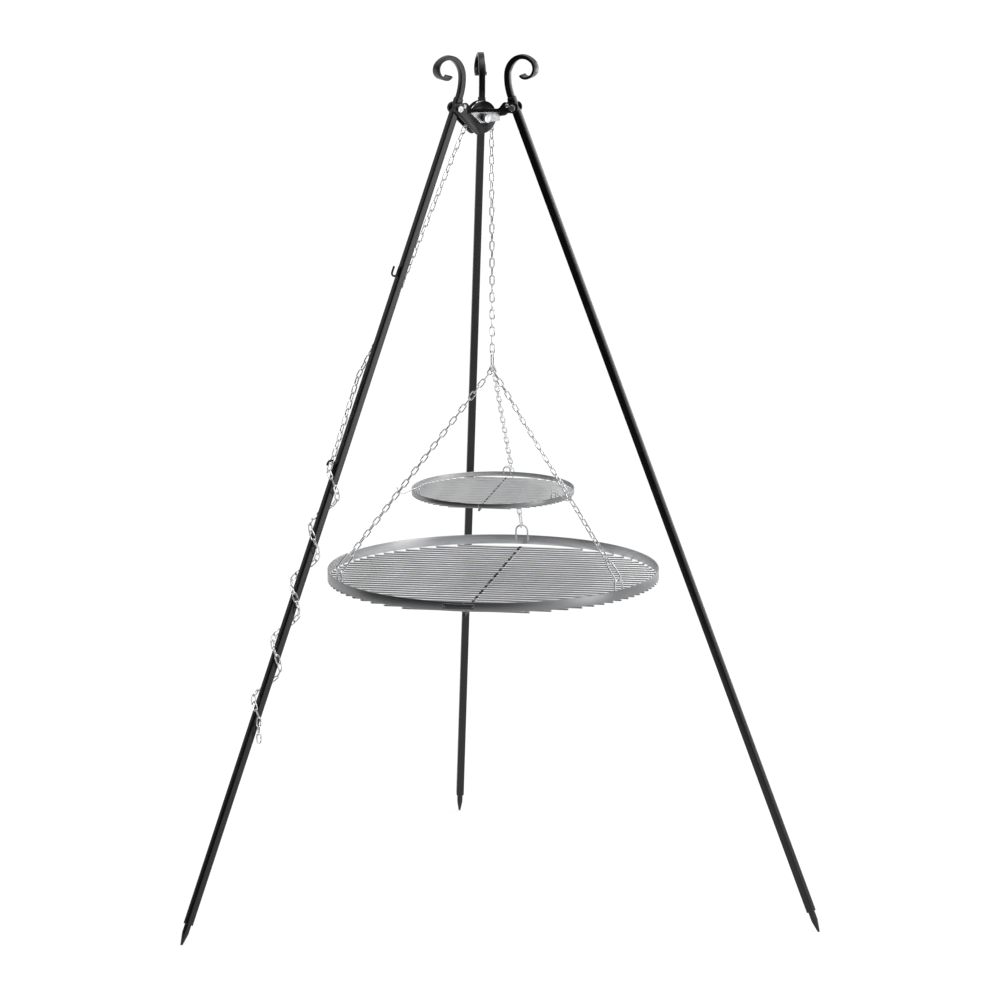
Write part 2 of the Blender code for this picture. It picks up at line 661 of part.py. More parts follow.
def make_chain(name, route, first, count, pitch, frame, turned=0):
    """Links along a route, each a quarter turn from the last, welded where they touch."""
    shapes = [bmesh.new(), bmesh.new()]
    span = pitch * LINK_REACH
    for i in range(count):
        distance = first + i * pitch
        centre = along_route(route, distance)[0]
        behind = along_route(route, max(0.0, distance - span))[0]
        ahead = along_route(route, distance + span)[0]
        direction = (ahead - behind).normalized()
        side = along_route(route, distance)[2]
        side = (side - direction * side.dot(direction)).normalized()
        if (i + turned) % 2:
            side = direction.cross(side)
        turn = Matrix((direction, side, direction.cross(side))).transposed().to_4x4()
        link_mesh(shapes[i % 2], Matrix.Translation(centre) @ turn, pitch)
    chain = add_mesh(name, shapes[0], "chain_zinc", frame)
    if count > 1:
        boolean(chain, "UNION", add_mesh(f"{name}_even_links", shapes[1], None, frame))
    else:
        shapes[1].free()
    return chain


def hook_out(name):
    """Distance from the leg's middle to the middle of a rod hook."""
    return TUBE_SIDE / 2 + GAP + LEG_HOOK_WIRE / 2 + LEG_HOOKS[name][2] / 2


def caught_link_place():
    """Where the hoist chain's link hangs on the lower rod hook, in the leg's own frame."""
    return Vector((hook_out("leg_hook_lower"), 0, CAUGHT_LINK_RISE - LEG_HOOKS["leg_hook_lower"][0]))


def hoist_route(frame_matrix, leg_matrix):
    """Route of the chain from the grates up, over the wheel and down to the leg's hook."""
    centre = Vector((WHEEL_OFFSET, 0, WHEEL_HEIGHT))
    to_upright = frame_matrix.inverted() @ leg_matrix
    caught = caught_link_place()
    high, low = CHAIN_CROSSES
    stations = [
        Vector((-CHAIN_OUT, -CHAIN_BESIDE_LEG, -high)), Vector((CHAIN_OUT, -CHAIN_BESIDE_LEG, -low)),
        caught + Vector((0, 0, 1.5 * HOIST_PITCH)), caught,
    ]
    stations = [to_upright @ station for station in stations]
    dx, dz = stations[0].x - centre.x, stations[0].z - centre.z
    leave = math.atan2(dz, dx) + math.acos(WHEEL_CHAIN_RADIUS / math.hypot(dx, dz))
    points = []
    for i in range(ROUTE_STEPS + 1):
        angle = math.pi + (leave - math.pi) * i / ROUTE_STEPS
        points.append(centre + Vector((math.cos(angle), 0, math.sin(angle))) * WHEEL_CHAIN_RADIUS)
    start = points[0] - Vector((0, 0, HOIST_PITCH))
    end = points[-1] + (stations[0] - points[-1]).normalized() * HOIST_PITCH
    across = Vector((0, 1, 0))
    over = [(point, across) for point in [start, *points, end]]
    return over, [(point, across) for point in [end, *stations]]


def tail_route(down):
    """Route of the spare chain in the leg's own frame: wound down the leg, then hanging free."""
    start = caught_link_place()
    steps = round(TAIL_TURNS * ROUTE_STEPS)
    route = [(start, Vector((1, 0, 0)))]
    for i in range(steps + 1):
        turns = TAIL_TURNS * i / steps
        side = Vector((math.cos(math.tau * turns), math.sin(math.tau * turns), 0))
        radius = TAIL_COIL_RADIUS + (start.x - TAIL_COIL_RADIUS) * max(0.0, 1 - turns)
        height = start.z - TAIL_STRAIGHT - TAIL_COIL_RISE * turns
        route.append((side * radius + Vector((0, 0, height)), side))
    end, side = route[-1]
    route.append((end + down * TAIL_DROP, side))
    return route


def make_hoist_chains(frame, leg):
    """The chain over the wheel, down to its hook on the left leg, round the leg and hanging from it."""
    frame_matrix, leg_matrix = upright_frame(AZIMUTHS["left"]), leg_frame("left")
    over, run = hoist_route(frame_matrix, leg_matrix)
    over_count = math.floor(route_length(over) / HOIST_PITCH)
    make_chain("chain_over_wheel", over, HOIST_PITCH / 2, over_count, HOIST_PITCH, frame)
    first = HOIST_PITCH * (over_count + 0.5) - LOOSE - route_length(over)
    odd = over_count % 2
    intervals = 2 * round(((route_length(run) - first) / HOIST_PITCH - odd) / 2) + odd
    pitch = (route_length(run) - first) / intervals
    to_leg = leg_matrix.inverted() @ frame_matrix
    leg_run = [(to_leg @ point, side) for point, side in run]
    make_chain("chain_down_leg", leg_run, first, intervals + 1, pitch, leg, turned=over_count)
    tail = tail_route(leg_matrix.to_3x3().inverted() @ Vector((0, 0, -1)))
    tail_first = (pitch + HOIST_PITCH) / 2 - LOOSE
    tail_count = math.floor((route_length(tail) - tail_first) / HOIST_PITCH)
    make_chain("chain_tail", tail, tail_first, tail_count, HOIST_PITCH, leg)


def make_leg_hooks(frame):
    """The two rod hooks welded on the left leg, one open upward and one open downward."""
    for name, (distance, way, width, tip) in LEG_HOOKS.items():
        middle = hook_out(name)
        centre = -distance + way * width / 2
        points = [Vector((middle - width / 2, 0, centre + way * LEG_HOOK_WELD))]
        points += [Vector((middle + x, 0, centre + way * z)) for x, z in arc((0, 0), width / 2, 180, 360, 6)]
        points.append(Vector((middle + width / 2, 0, centre + way * tip)))
        wire(name, points, LEG_HOOK_WIRE, "black_paint", frame)


def oval(half_width, length, steps=5):
    """Points of a stadium in the XZ plane, its lower round end centred half a width above zero."""
    low = arc((0, half_width), half_width, 180, 360, steps)
    high = arc((0, length - half_width), half_width, 0, 180, steps)
    return [Vector((x, 0, z)) for x, z in low + high]


def make_grate(prefix, sizes, frame):
    """A round grate: rolled rim, rods welded under it on a strut, and three wire bails."""
    low = sizes["top"] - sizes["height"]
    outside = circle_points(sizes["radius"], RIM_SEGMENTS)
    inside = circle_points(sizes["radius"] - sizes["wall"], RIM_SEGMENTS)
    sleeve(f"{prefix}_grate_rim", outside, inside, low, sizes["top"], "bare_steel", frame)
    grille = bmesh.new()
    rod, sides = sizes["rod"], sizes["rod_sides"]
    level = low - GAP - rod / 2
    on_each_side = math.floor((sizes["radius"] - sizes["pitch"]) / sizes["pitch"])
    for i in range(-on_each_side, on_each_side + 1):
        place = i * sizes["pitch"]
        half = math.sqrt(sizes["radius"] ** 2 - place**2)
        move = Matrix.Translation((place, 0, level)) @ Matrix.Rotation(math.radians(90), 4, "X")
        bmesh.ops.create_cone(
            grille, cap_ends=True, segments=sides, radius1=rod / 2, radius2=rod / 2, depth=2 * half, matrix=move
        )
    rods = add_mesh(f"{prefix}_grate_rods", grille, "bare_steel", frame)
    width, height = sizes["strut"]
    strut = bmesh.new()
    length = 2 * (sizes["radius"] - 2 * sizes["wall"])
    place = Matrix.Translation((0, 0, level - rod * (0.5 - STRUT_BITE) - height / 2))
    bmesh.ops.create_cube(strut, size=1, matrix=place @ Matrix.Diagonal((length, width, height, 1)))
    boolean(rods, "UNION", add_mesh(f"{prefix}_strut", strut, None, frame))
    for side, azimuth in DROP_AZIMUTHS.items():
        turn = Matrix.Rotation(math.radians(azimuth - DROP_AZIMUTHS["back"]), 4, "Z")
        place = empty(f"at_{prefix}_bail_{side}", turn, frame)
        make_bail(f"{prefix}_bail_{side}", sizes, place)


def bail_radius(sizes):
    """Distance from the grate's centre to the middle of a bail's wire."""
    edge = sizes["radius"] * math.cos(math.pi / RIM_SEGMENTS) - sizes["wall"]
    sag = (sizes["bail_width"] / 2) ** 2 / (2 * sizes["radius"])
    return edge - GAP - sizes["bail_wire"] / 2 - sag


def small_grate_top():
    """Height of the small grate's upper edge: its hooks reach out to the drop chains and up from it."""
    bow = BIG["top"] + BIG["bail_rise"]
    share = (bail_radius(SMALL) + HOOK_REACH) / bail_radius(BIG)
    return RING_BOTTOM_HEIGHT - (RING_BOTTOM_HEIGHT - bow) * share - HOOK_RISE - SMALL["bail_rise"]


def make_bail(name, sizes, frame):
    """A wire bail: both feet welded inside the rim and a round bow above it."""
    half = sizes["bail_width"] / 2
    radius = bail_radius(sizes)
    bow = arc((0, sizes["top"] + sizes["bail_rise"] - half), half, 0, 180, 8)
    points = [Vector((radius, half, sizes["top"] - sizes["bail_foot"]))]
    points += [Vector((radius, y, z)) for y, z in bow]
    points.append(Vector((radius, -half, sizes["top"] - sizes["bail_foot"])))
    wire(name, points, sizes["bail_wire"], "bare_steel", frame)


def drop_geometry(side):
    """One drop chain's start in the hanger ring, its end link's foot, its direction and its first side."""
    seat = math.radians(DROP_SEATS[side])
    outward = radial(RING_AZIMUTH) * math.sin(seat) - Vector((0, 0, math.cos(seat)))
    held = Vector((0, 0, RING_BOTTOM_HEIGHT + RING_HALF_WIDTH)) + outward * RING_HALF_WIDTH
    bow = radial(DROP_AZIMUTHS[side]) * bail_radius(BIG) + Vector((0, 0, BIG["top"] + BIG["bail_rise"]))
    direction = (bow - held).normalized()
    start = held - direction * (RING_WIRE / 2 + LINK_CORNER + GAP) * LINK_SEAT
    ring_wire = radial(RING_AZIMUTH) * math.cos(seat) + Vector((0, 0, math.sin(seat)))
    first_side = direction.cross(ring_wire).normalized()
    return start, bow + direction * (BIG["bail_wire"] / 2 + GAP + END_LINK_WIRE / 2), direction, first_side


def make_drop_chain(side, frame):
    """One drop chain from the hanger ring to its end link, which holds the big grate's bail."""
    begin, low, direction, first_side = drop_geometry(side)
    tangent = radial(DROP_AZIMUTHS[side] + 90)
    upper = low - direction * END_LINK_LENGTH
    turn = Matrix((direction.cross(tangent), tangent, -direction)).transposed().to_4x4()
    place = empty(f"at_end_link_{side}", Matrix.Translation(low) @ turn, frame)
    wire(f"end_link_{side}", oval(END_LINK_HALF_WIDTH, END_LINK_LENGTH), END_LINK_WIRE, "chain_zinc", place, True)
    finish = upper + direction * (END_LINK_WIRE / 2 + LINK_CORNER + GAP) * LINK_SEAT
    extra = 2 * LINK_HALF_LENGTH_EXTRA
    inner = (finish - begin).length - extra
    last_side = max((tangent, direction.cross(tangent)), key=lambda axis: abs(axis.dot(first_side)))
    odd = 1 if last_side == tangent else 0
    count = 2 * round((inner / DROP_PITCH - odd) / 2) + odd
    pitch = inner / count
    route = [(begin, first_side), (finish, last_side * math.copysign(1, last_side.dot(first_side)))]
    make_chain(f"drop_chain_{side}", route, extra / 2 + pitch / 2, count, pitch, frame)
    return begin, direction, pitch, count


def make_small_hook(side, frame):
    """The wire hook that hangs the small grate's bail from a link of the drop chain."""
    begin, direction, pitch, count = DROPS[side]
    out = radial(DROP_AZIMUTHS[side])
    bail = bail_radius(SMALL)
    apex = SMALL["top"] + SMALL["bail_rise"] - SMALL["bail_wire"] / 2 - GAP - HOOK_WIRE / 2
    target = SMALL["top"] + SMALL["bail_rise"] + HOOK_RISE
    index = round(((begin.z - target) / -direction.z - LINK_HALF_LENGTH_EXTRA) / pitch - 0.5)
    index += (count - 1 - index) % 2
    seat = pitch / 2 - LINK_HALF_LENGTH_EXTRA - LINK_CORNER - HOOK_WIRE / 2
    link = begin + direction * (LINK_HALF_LENGTH_EXTRA + pitch * (index + 0.5) + seat)
    low = out * bail + Vector((0, 0, apex))
    points = [low + (out * r + Vector((0, 0, z))) * HOOK_BEND for r, z in HOOK_FOOT]
    points += [link + (out * r + Vector((0, 0, z))) * HOOK_BEND for r, z in HOOK_HEAD]
    wire(f"small_hook_{side}", points, HOOK_WIRE, "chain_zinc", frame)


def make_hanger(frame):
    """The oval ring that joins the hoist chain to the three drop chains, and the chain above it."""
    turn = Matrix.Rotation(math.radians(RING_AZIMUTH), 4, "Z")
    place = empty("at_hanger_ring", Matrix.Translation((0, 0, RING_BOTTOM_HEIGHT)) @ turn, frame)
    wire("hanger_ring", oval(RING_HALF_WIDTH, RING_LENGTH, 8), RING_WIRE, "chain_zinc", place, True)
    ring_seat = (RING_WIRE / 2 + LINK_CORNER + GAP) * LINK_SEAT
    top = Vector((0, 0, WHEEL_HEIGHT - HOIST_PITCH))
    low = Vector((0, 0, RING_BOTTOM_HEIGHT + RING_LENGTH - ring_seat + LINK_HALF_LENGTH_EXTRA))
    wheel_side = radial(AZIMUTHS["left"])
    first = HOIST_PITCH / 2 - LOOSE
    make_chain("hoist_top_link", [(top, wheel_side), (low, wheel_side)], first, 1, HOIST_PITCH, frame)
    start = top - Vector((0, 0, first + HOIST_PITCH / 2 - LOOSE))
    length = (start - low).length
    count = 2 * round(length / HOIST_PITCH / 2)
    pitch = length / count
    route = [(start, wheel_side), (low, radial(RING_AZIMUTH + 90))]
    make_chain("hoist_chain", route, pitch / 2, count, pitch, frame, turned=1)


ROOT = empty("tripod_grill_origin", Matrix.Translation((0, AXIS_Y, 0)))
SIDES = {side: empty(f"side_{side}", upright_frame(azimuth), ROOT) for side, azimuth in AZIMUTHS.items()}
LEGS = {side: empty(f"leg_{side}", leg_frame(side), ROOT) for side in AZIMUTHS}
CHAIN_AXIS = empty("chain_axis", Matrix.Translation(-radial(AZIMUTHS["left"]) * CHAIN_OFFSET), ROOT)
GRATES = empty("grate_frame", Matrix.Rotation(math.radians(DROP_AZIMUTHS["back"]), 4, "Z"), CHAIN_AXIS)

for leg_side, leg_empty in LEGS.items():
    make_tube(leg_side, leg_empty)
    make_spike(leg_side, leg_empty)
    make_scroll(leg_side, leg_empty)
    on_left = leg_side == "left"
    make_leg_fasteners(leg_side, SIDES[leg_side], BRACE_OUTSIDE if on_left else EAR_OUTSIDE, -1 if on_left else 1)

make_strap("front_strap", FRONT_DIP, "left", "right")
make_strap("rear_right_strap", REAR_DIP, "right", "back")
make_strap("rear_left_strap", REAR_DIP, "back", "left")
make_wheel_plates(SIDES["left"])
make_axle(SIDES["left"])
make_wheel(SIDES["left"])
make_leg_hooks(LEGS["left"])
make_hoist_chains(SIDES["left"], LEGS["left"])
make_hanger(CHAIN_AXIS)
SMALL["top"] = small_grate_top()
DROPS = {drop_side: make_drop_chain(drop_side, CHAIN_AXIS) for drop_side in DROP_AZIMUTHS}
make_grate("big", BIG, GRATES)
make_grate("small", SMALL, GRATES)
for drop_side in DROP_AZIMUTHS:
    make_small_hook(drop_side, CHAIN_AXIS)
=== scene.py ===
"""Looks of the tripod swing grill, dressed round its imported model.

Everything is in metres and in the model's own frame. Each sub-assembly is a class: its fields are
sizes, and its methods build meshes and hand them to the workshop, which paints them and lets them
ride on the bodies of the model. Every mesh carries a vector named grain, which is its place on the
straightened bar or strip that the piece was made from, so that drawn and rolled marks follow bends.
"""

from __future__ import annotations

import json
import logging
import math
import sys
from collections.abc import Iterable, Sequence
from dataclasses import dataclass, field
from enum import Enum

import bmesh
import bpy
import numpy as np
from mathutils import Matrix, Vector, noise

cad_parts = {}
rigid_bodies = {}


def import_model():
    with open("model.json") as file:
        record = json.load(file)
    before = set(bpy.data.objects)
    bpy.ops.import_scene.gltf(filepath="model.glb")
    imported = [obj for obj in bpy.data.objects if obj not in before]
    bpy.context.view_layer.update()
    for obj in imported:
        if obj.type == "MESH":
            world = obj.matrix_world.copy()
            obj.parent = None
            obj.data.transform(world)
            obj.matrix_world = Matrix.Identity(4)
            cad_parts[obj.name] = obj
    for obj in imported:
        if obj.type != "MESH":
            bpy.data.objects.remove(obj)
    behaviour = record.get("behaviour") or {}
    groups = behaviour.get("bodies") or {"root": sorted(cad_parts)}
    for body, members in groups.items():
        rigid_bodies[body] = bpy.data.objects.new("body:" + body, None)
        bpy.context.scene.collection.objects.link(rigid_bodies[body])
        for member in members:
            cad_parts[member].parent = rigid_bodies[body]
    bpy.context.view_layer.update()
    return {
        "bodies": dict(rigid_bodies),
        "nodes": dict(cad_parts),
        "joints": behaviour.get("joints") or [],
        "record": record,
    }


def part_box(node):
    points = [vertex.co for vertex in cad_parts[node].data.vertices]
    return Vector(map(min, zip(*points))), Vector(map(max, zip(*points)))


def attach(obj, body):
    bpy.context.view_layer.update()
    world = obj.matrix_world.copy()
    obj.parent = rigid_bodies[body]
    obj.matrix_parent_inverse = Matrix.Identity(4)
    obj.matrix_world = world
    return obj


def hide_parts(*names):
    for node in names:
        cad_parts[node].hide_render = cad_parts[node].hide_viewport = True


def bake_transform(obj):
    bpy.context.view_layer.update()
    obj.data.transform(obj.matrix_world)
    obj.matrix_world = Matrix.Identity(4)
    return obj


LOG = logging.getLogger("tripod_grill")
MM = 0.001
GRAIN = "grain"
Colour = tuple[float, float, float]
Profile = Sequence[tuple[float, float]]


class Side(Enum):
    """The three legs, by the azimuth in degrees at which each stands."""

    LEFT = 210
    RIGHT = 330
    BACK = 90

    @property
    def word(self) -> str:
        """The leg's name as the model's nodes spell it."""
        return self.name.lower()


class Value:
    """A socket of a shader graph. Arithmetic on one that gives a number adds Math nodes."""

    def __init__(self, graph: Graph, socket: bpy.types.NodeSocket) -> None:
        """Wraps the socket."""
        self.graph = graph
        self.socket = socket

    def _math(self, operation: str, left: Value | float, right: Value | float) -> Value:
        """Adds one Math node."""
        return self.graph.node("ShaderNodeMath", {"operation": operation}, {0: left, 1: right})

    def __add__(self, other: Value | float) -> Value:
        """Sum."""
        return self._math("ADD", self, other)

    def __radd__(self, other: float) -> Value:
        """Sum with a number on the left."""
        return self._math("ADD", other, self)

    def __sub__(self, other: Value | float) -> Value:
        """Difference."""
        return self._math("SUBTRACT", self, other)

    def __rsub__(self, other: float) -> Value:
        """Difference from a number."""
        return self._math("SUBTRACT", other, self)

    def __mul__(self, other: Value | float) -> Value:
        """Product."""
        return self._math("MULTIPLY", self, other)

    def __rmul__(self, other: float) -> Value:
        """Product with a number on the left."""
        return self._math("MULTIPLY", other, self)


class Graph:
    """The node tree of a material or of the world, with short names for what the finishes use."""

    def __init__(self, name: str, world: bool = False) -> None:
        """Starts an empty tree.

        Args:
            name: The name of the material or world.
            world: Whether it is a world.
        """
        self.owner = (bpy.data.worlds if world else bpy.data.materials).new(name)
        self.output = "ShaderNodeOutputWorld" if world else "ShaderNodeOutputMaterial"
        self.owner.use_nodes = True
        self.tree = self.owner.node_tree
        self.tree.nodes.clear()

    def node(
        self,
        kind: str,
        settings: dict[str, object] | None = None,
        inputs: dict[str | int, object] | None = None,
        output: str | int = 0,
    ) -> Value:
        """Adds a node.

        Args:
            kind: The node's type.
            settings: Its settings, set first; stops are a ramp's places and greys.
            inputs: Values or links of its sockets, by name or number.
            output: The output that is returned.

        Returns:
            The chosen output, wrapped.
        """
        made = self.tree.nodes.new(kind)
        for name, value in (settings or {}).items():
            if name == "stops":
                elements = made.color_ramp.elements
                for element, (place, grey) in zip(elements, value):
                    element.position = place
                    element.color = (grey, grey, grey, 1)
            else:
                setattr(made, name, value)
        for key, value in (inputs or {}).items():
            if isinstance(value, Value):
                self.tree.links.new(value.socket, made.inputs[key])
            else:
                made.inputs[key].default_value = value
        return Value(self, made.outputs[output])

    def grain(self) -> Value:
        """The grain vector that every mesh carries, in metres."""
        return self.node("ShaderNodeAttribute", {"attribute_name": GRAIN}, output="Vector")

    def noise(self, size: tuple[float, float, float], detail: float = 3, offset: float = 0) -> Value:
        """Noise over the grain vector.

        Args:
            size: Width of its blotches across, across and along the grain, in metres.
            detail: Octaves of finer noise.
            offset: Shift, so that two noises of one size differ.

        Returns:
            The noise, about a half on average.
        """
        scale = tuple(1 / length for length in size)
        move = {0: self.grain(), 1: scale, 2: (offset, offset, offset)}
        place = self.node("ShaderNodeVectorMath", {"operation": "MULTIPLY_ADD"}, move)
        return self.node("ShaderNodeTexNoise", {}, {"Vector": place, "Scale": 1.0, "Detail": detail})

    def ramp(self, value: Value, low: float, high: float) -> Value:
        """The value stretched so that low gives zero and high gives one.

        Args:
            value: What is stretched.
            low: The value that becomes zero.
            high: The value that becomes one.

        Returns:
            The stretched and clamped value.
        """
        limits = {"Value": value, "From Min": low, "From Max": high}
        return self.node("ShaderNodeMapRange", {"interpolation_type": "SMOOTHSTEP"}, limits)

    def mix(self, factor: Value, first: Colour | Value, second: Colour | Value) -> Value:
        """Mixes two colours.

        Args:
            factor: Share of the second.
            first: The colour at zero.
            second: The colour at one.

        Returns:
            The mixed colour.
        """
        colours = [c if isinstance(c, Value) else (*c, 1) for c in (first, second)]
        settings = {"data_type": "RGBA"}
        return self.node("ShaderNodeMix", settings, {0: factor, 6: colours[0], 7: colours[1]}, 2)

    def bump(self, height: Value, distance: float) -> Value:
        """A normal that is raised by the height times the distance in metres."""
        return self.node("ShaderNodeBump", {}, {"Height": height, "Distance": distance}, "Normal")

    def finish(self, inputs: dict[str, object]) -> bpy.types.Material:
        """Closes the tree with a Principled shader.

        Args:
            inputs: Values or links of the shader's sockets.

        Returns:
            The finished material.
        """
        self.surface(self.node("ShaderNodeBsdfPrincipled", {}, inputs))
        return self.owner

    def glow(self, colour: Colour | Value) -> Value:
        """An emission shader of strength one."""
        given = colour if isinstance(colour, Value) else (*colour, 1)
        return self.node("ShaderNodeEmission", {}, {"Color": given})

    def diffuse(self, grey: float) -> Value:
        """A matt grey shader."""
        return self.node("ShaderNodeBsdfDiffuse", {}, {"Color": (grey, grey, grey, 1)})

    def blend(self, factor: float | Value, first: Value, second: Value) -> Value:
        """Mixes two shaders."""
        return self.node("ShaderNodeMixShader", {}, {0: factor, 1: first, 2: second})

    def surface(self, shader: Value) -> None:
        """Links a shader to the tree's output."""
        target = self.tree.nodes.new(self.output)
        self.tree.links.new(shader.socket, target.inputs["Surface"])


@dataclass(frozen=True)
class BlackPaint:
    """Semi-gloss black paint on rolled or hammered steel."""

    name: str = "black_paint"
    slot: str = "black_paint"
    colour: Colour = (0.003, 0.003, 0.0032)
    # Colour of the lighter streaks: rubbed paint together with a painted sheen along the length.
    rubbed: Colour = (0.011, 0.011, 0.0115)
    roughness: float = 0.27
    roughness_spread: float = 0.16
    streak: tuple[float, float, float] = (1.3 * MM, 1.3 * MM, 130 * MM)
    peel: float = 1.1 * MM
    peel_depth: float = 0.02 * MM
    dent: float = 14 * MM
    dent_depth: float = 0.1 * MM
    specular: float = 0.34
    patch: float = 40 * MM
    coat: float = 0.1
    coat_roughness: float = 0.12

    def build(self) -> bpy.types.Material:
        """The paint's material."""
        graph = Graph(self.name)
        streaks = graph.noise(self.streak, 4)
        patches = graph.noise((self.patch,) * 3, 3, 5)
        # Lighter streaks along the grain: rubbed paint together with a painted sheen along the length of the
        # bars.
        rubbed = graph.ramp(streaks * patches, 0.3, 0.42)
        peel = graph.noise((self.peel,) * 3, 1, 9)
        dents = graph.noise((self.dent,) * 3, 1, 2)
        height = peel * (self.peel_depth / MM) + dents * (self.dent_depth / MM)
        height = height + streaks * 0.01
        return graph.finish({
            "Base Color": graph.mix(rubbed, self.colour, self.rubbed),
            "Roughness": self.roughness + self.roughness_spread * (streaks - 0.5) + 0.06 * rubbed,
            "Specular IOR Level": self.specular,
            "Coat Roughness": self.coat_roughness,
            "Coat Weight": self.coat,
            "Normal": graph.bump(height, MM),
        })


@dataclass(frozen=True)
class Plating:
    """Bright zinc on bolts, plates and chain, with a faint crystal pattern and handling marks."""

    name: str
    slot: str
    bright: Colour = (0.78, 0.785, 0.79)
    dull: Colour = (0.55, 0.56, 0.575)
    roughness: float = 0.24
    roughness_spread: float = 0.22
    crystal: float = 2.4 * MM
    patch: float = 9 * MM
    streak: tuple[float, float, float] = (0.7 * MM, 0.7 * MM, 12 * MM)
    depth: float = 0.012 * MM

    def build(self) -> bpy.types.Material:
        """The plating's material."""
        graph = Graph(self.name)
        scale = tuple(1 / self.crystal for _ in range(3))
        place = graph.node("ShaderNodeVectorMath", {"operation": "MULTIPLY"}, {0: graph.grain(), 1: scale})
        crystals = graph.node("ShaderNodeTexVoronoi", {}, {"Vector": place, "Scale": 1.0}, "Color")
        tone = graph.node("ShaderNodeSeparateColor", {}, {"Color": crystals}, "Red")
        streaks = graph.noise(self.streak, 3)
        patches = graph.noise((self.patch,) * 3, 3, 4)
        dulled = graph.ramp(patches * 0.6 + streaks * 0.25 + tone * 0.15, 0.42, 0.66)
        return graph.finish({
            "Base Color": graph.mix(dulled, self.bright, self.dull),
            "Metallic": 1.0,
            "Roughness": self.roughness + self.roughness_spread * (dulled * 0.6 + streaks * 0.4),
            "Normal": graph.bump(streaks + patches * 0.6, self.depth),
        })


@dataclass(frozen=True)
class DrawnSteel:
    """Bare steel of rods and rims: fine lines along the grain and uneven mill tone."""

    name: str
    slot: str = "bare_steel"
    bright: Colour = (0.62, 0.625, 0.63)
    dark: Colour = (0.36, 0.365, 0.375)
    roughness: float = 0.26
    roughness_spread: float = 0.2
    # The next two fields are the colour and the weight of painted shade on faces that point down.
    sooty: Colour = (0.12, 0.12, 0.122)
    soot: float = 0.0
    # The next two fields are the colour and the weight of painted shade on a rim's outer face.
    scaled: Colour = (0.2, 0.202, 0.208)
    scale: float = 0.0
    line: tuple[float, float, float] = (0.5 * MM, 0.5 * MM, 60 * MM)
    patch: tuple[float, float, float] = (30 * MM, 30 * MM, 90 * MM)
    depth: float = 0.02 * MM

    def build(self) -> bpy.types.Material:
        """The steel's material, with painted shade that darkens its undersides and, on a rim, its outer face.
        """
        graph = Graph(self.name)
        lines = graph.noise(self.line, 4)
        patches = graph.noise(self.patch, 4, 3)
        tone = graph.ramp(lines * 0.45 + patches * 0.55, 0.36, 0.64)
        colour = graph.mix(tone, self.bright, self.dark)
        if self.soot:
            # Painted shade: faces that point down are darkened, standing in for the shade under the rods.
            normal = graph.node("ShaderNodeTexCoord", output="Normal")
            upward = graph.node("ShaderNodeSeparateXYZ", {}, {"Vector": normal}, "Z")
            under = 1 - graph.ramp(upward + 0.3 * (lines - 0.5), -0.25, 0.55)
            colour = graph.mix(under * self.soot, colour, self.sooty)
        if self.scale:
            # Painted shade: the strip's outer face, found by the grain's X, is darkened for the dimmer light
            # that it gives back.
            across = graph.node("ShaderNodeSeparateXYZ", {}, {"Vector": graph.grain()}, "X")
            outside = graph.ramp(across + 0.2 * MM * (patches - 0.5), 0.2 * MM, 0.9 * MM)
            colour = graph.mix(outside * self.scale, colour, self.scaled)
        return graph.finish({
            "Base Color": colour,
            "Metallic": 1.0,
            "Roughness": self.roughness + self.roughness_spread * (lines * 0.6 + patches * 0.4),
            "Normal": graph.bump(lines, self.depth),
        })


Finish = BlackPaint | Plating | DrawnSteel


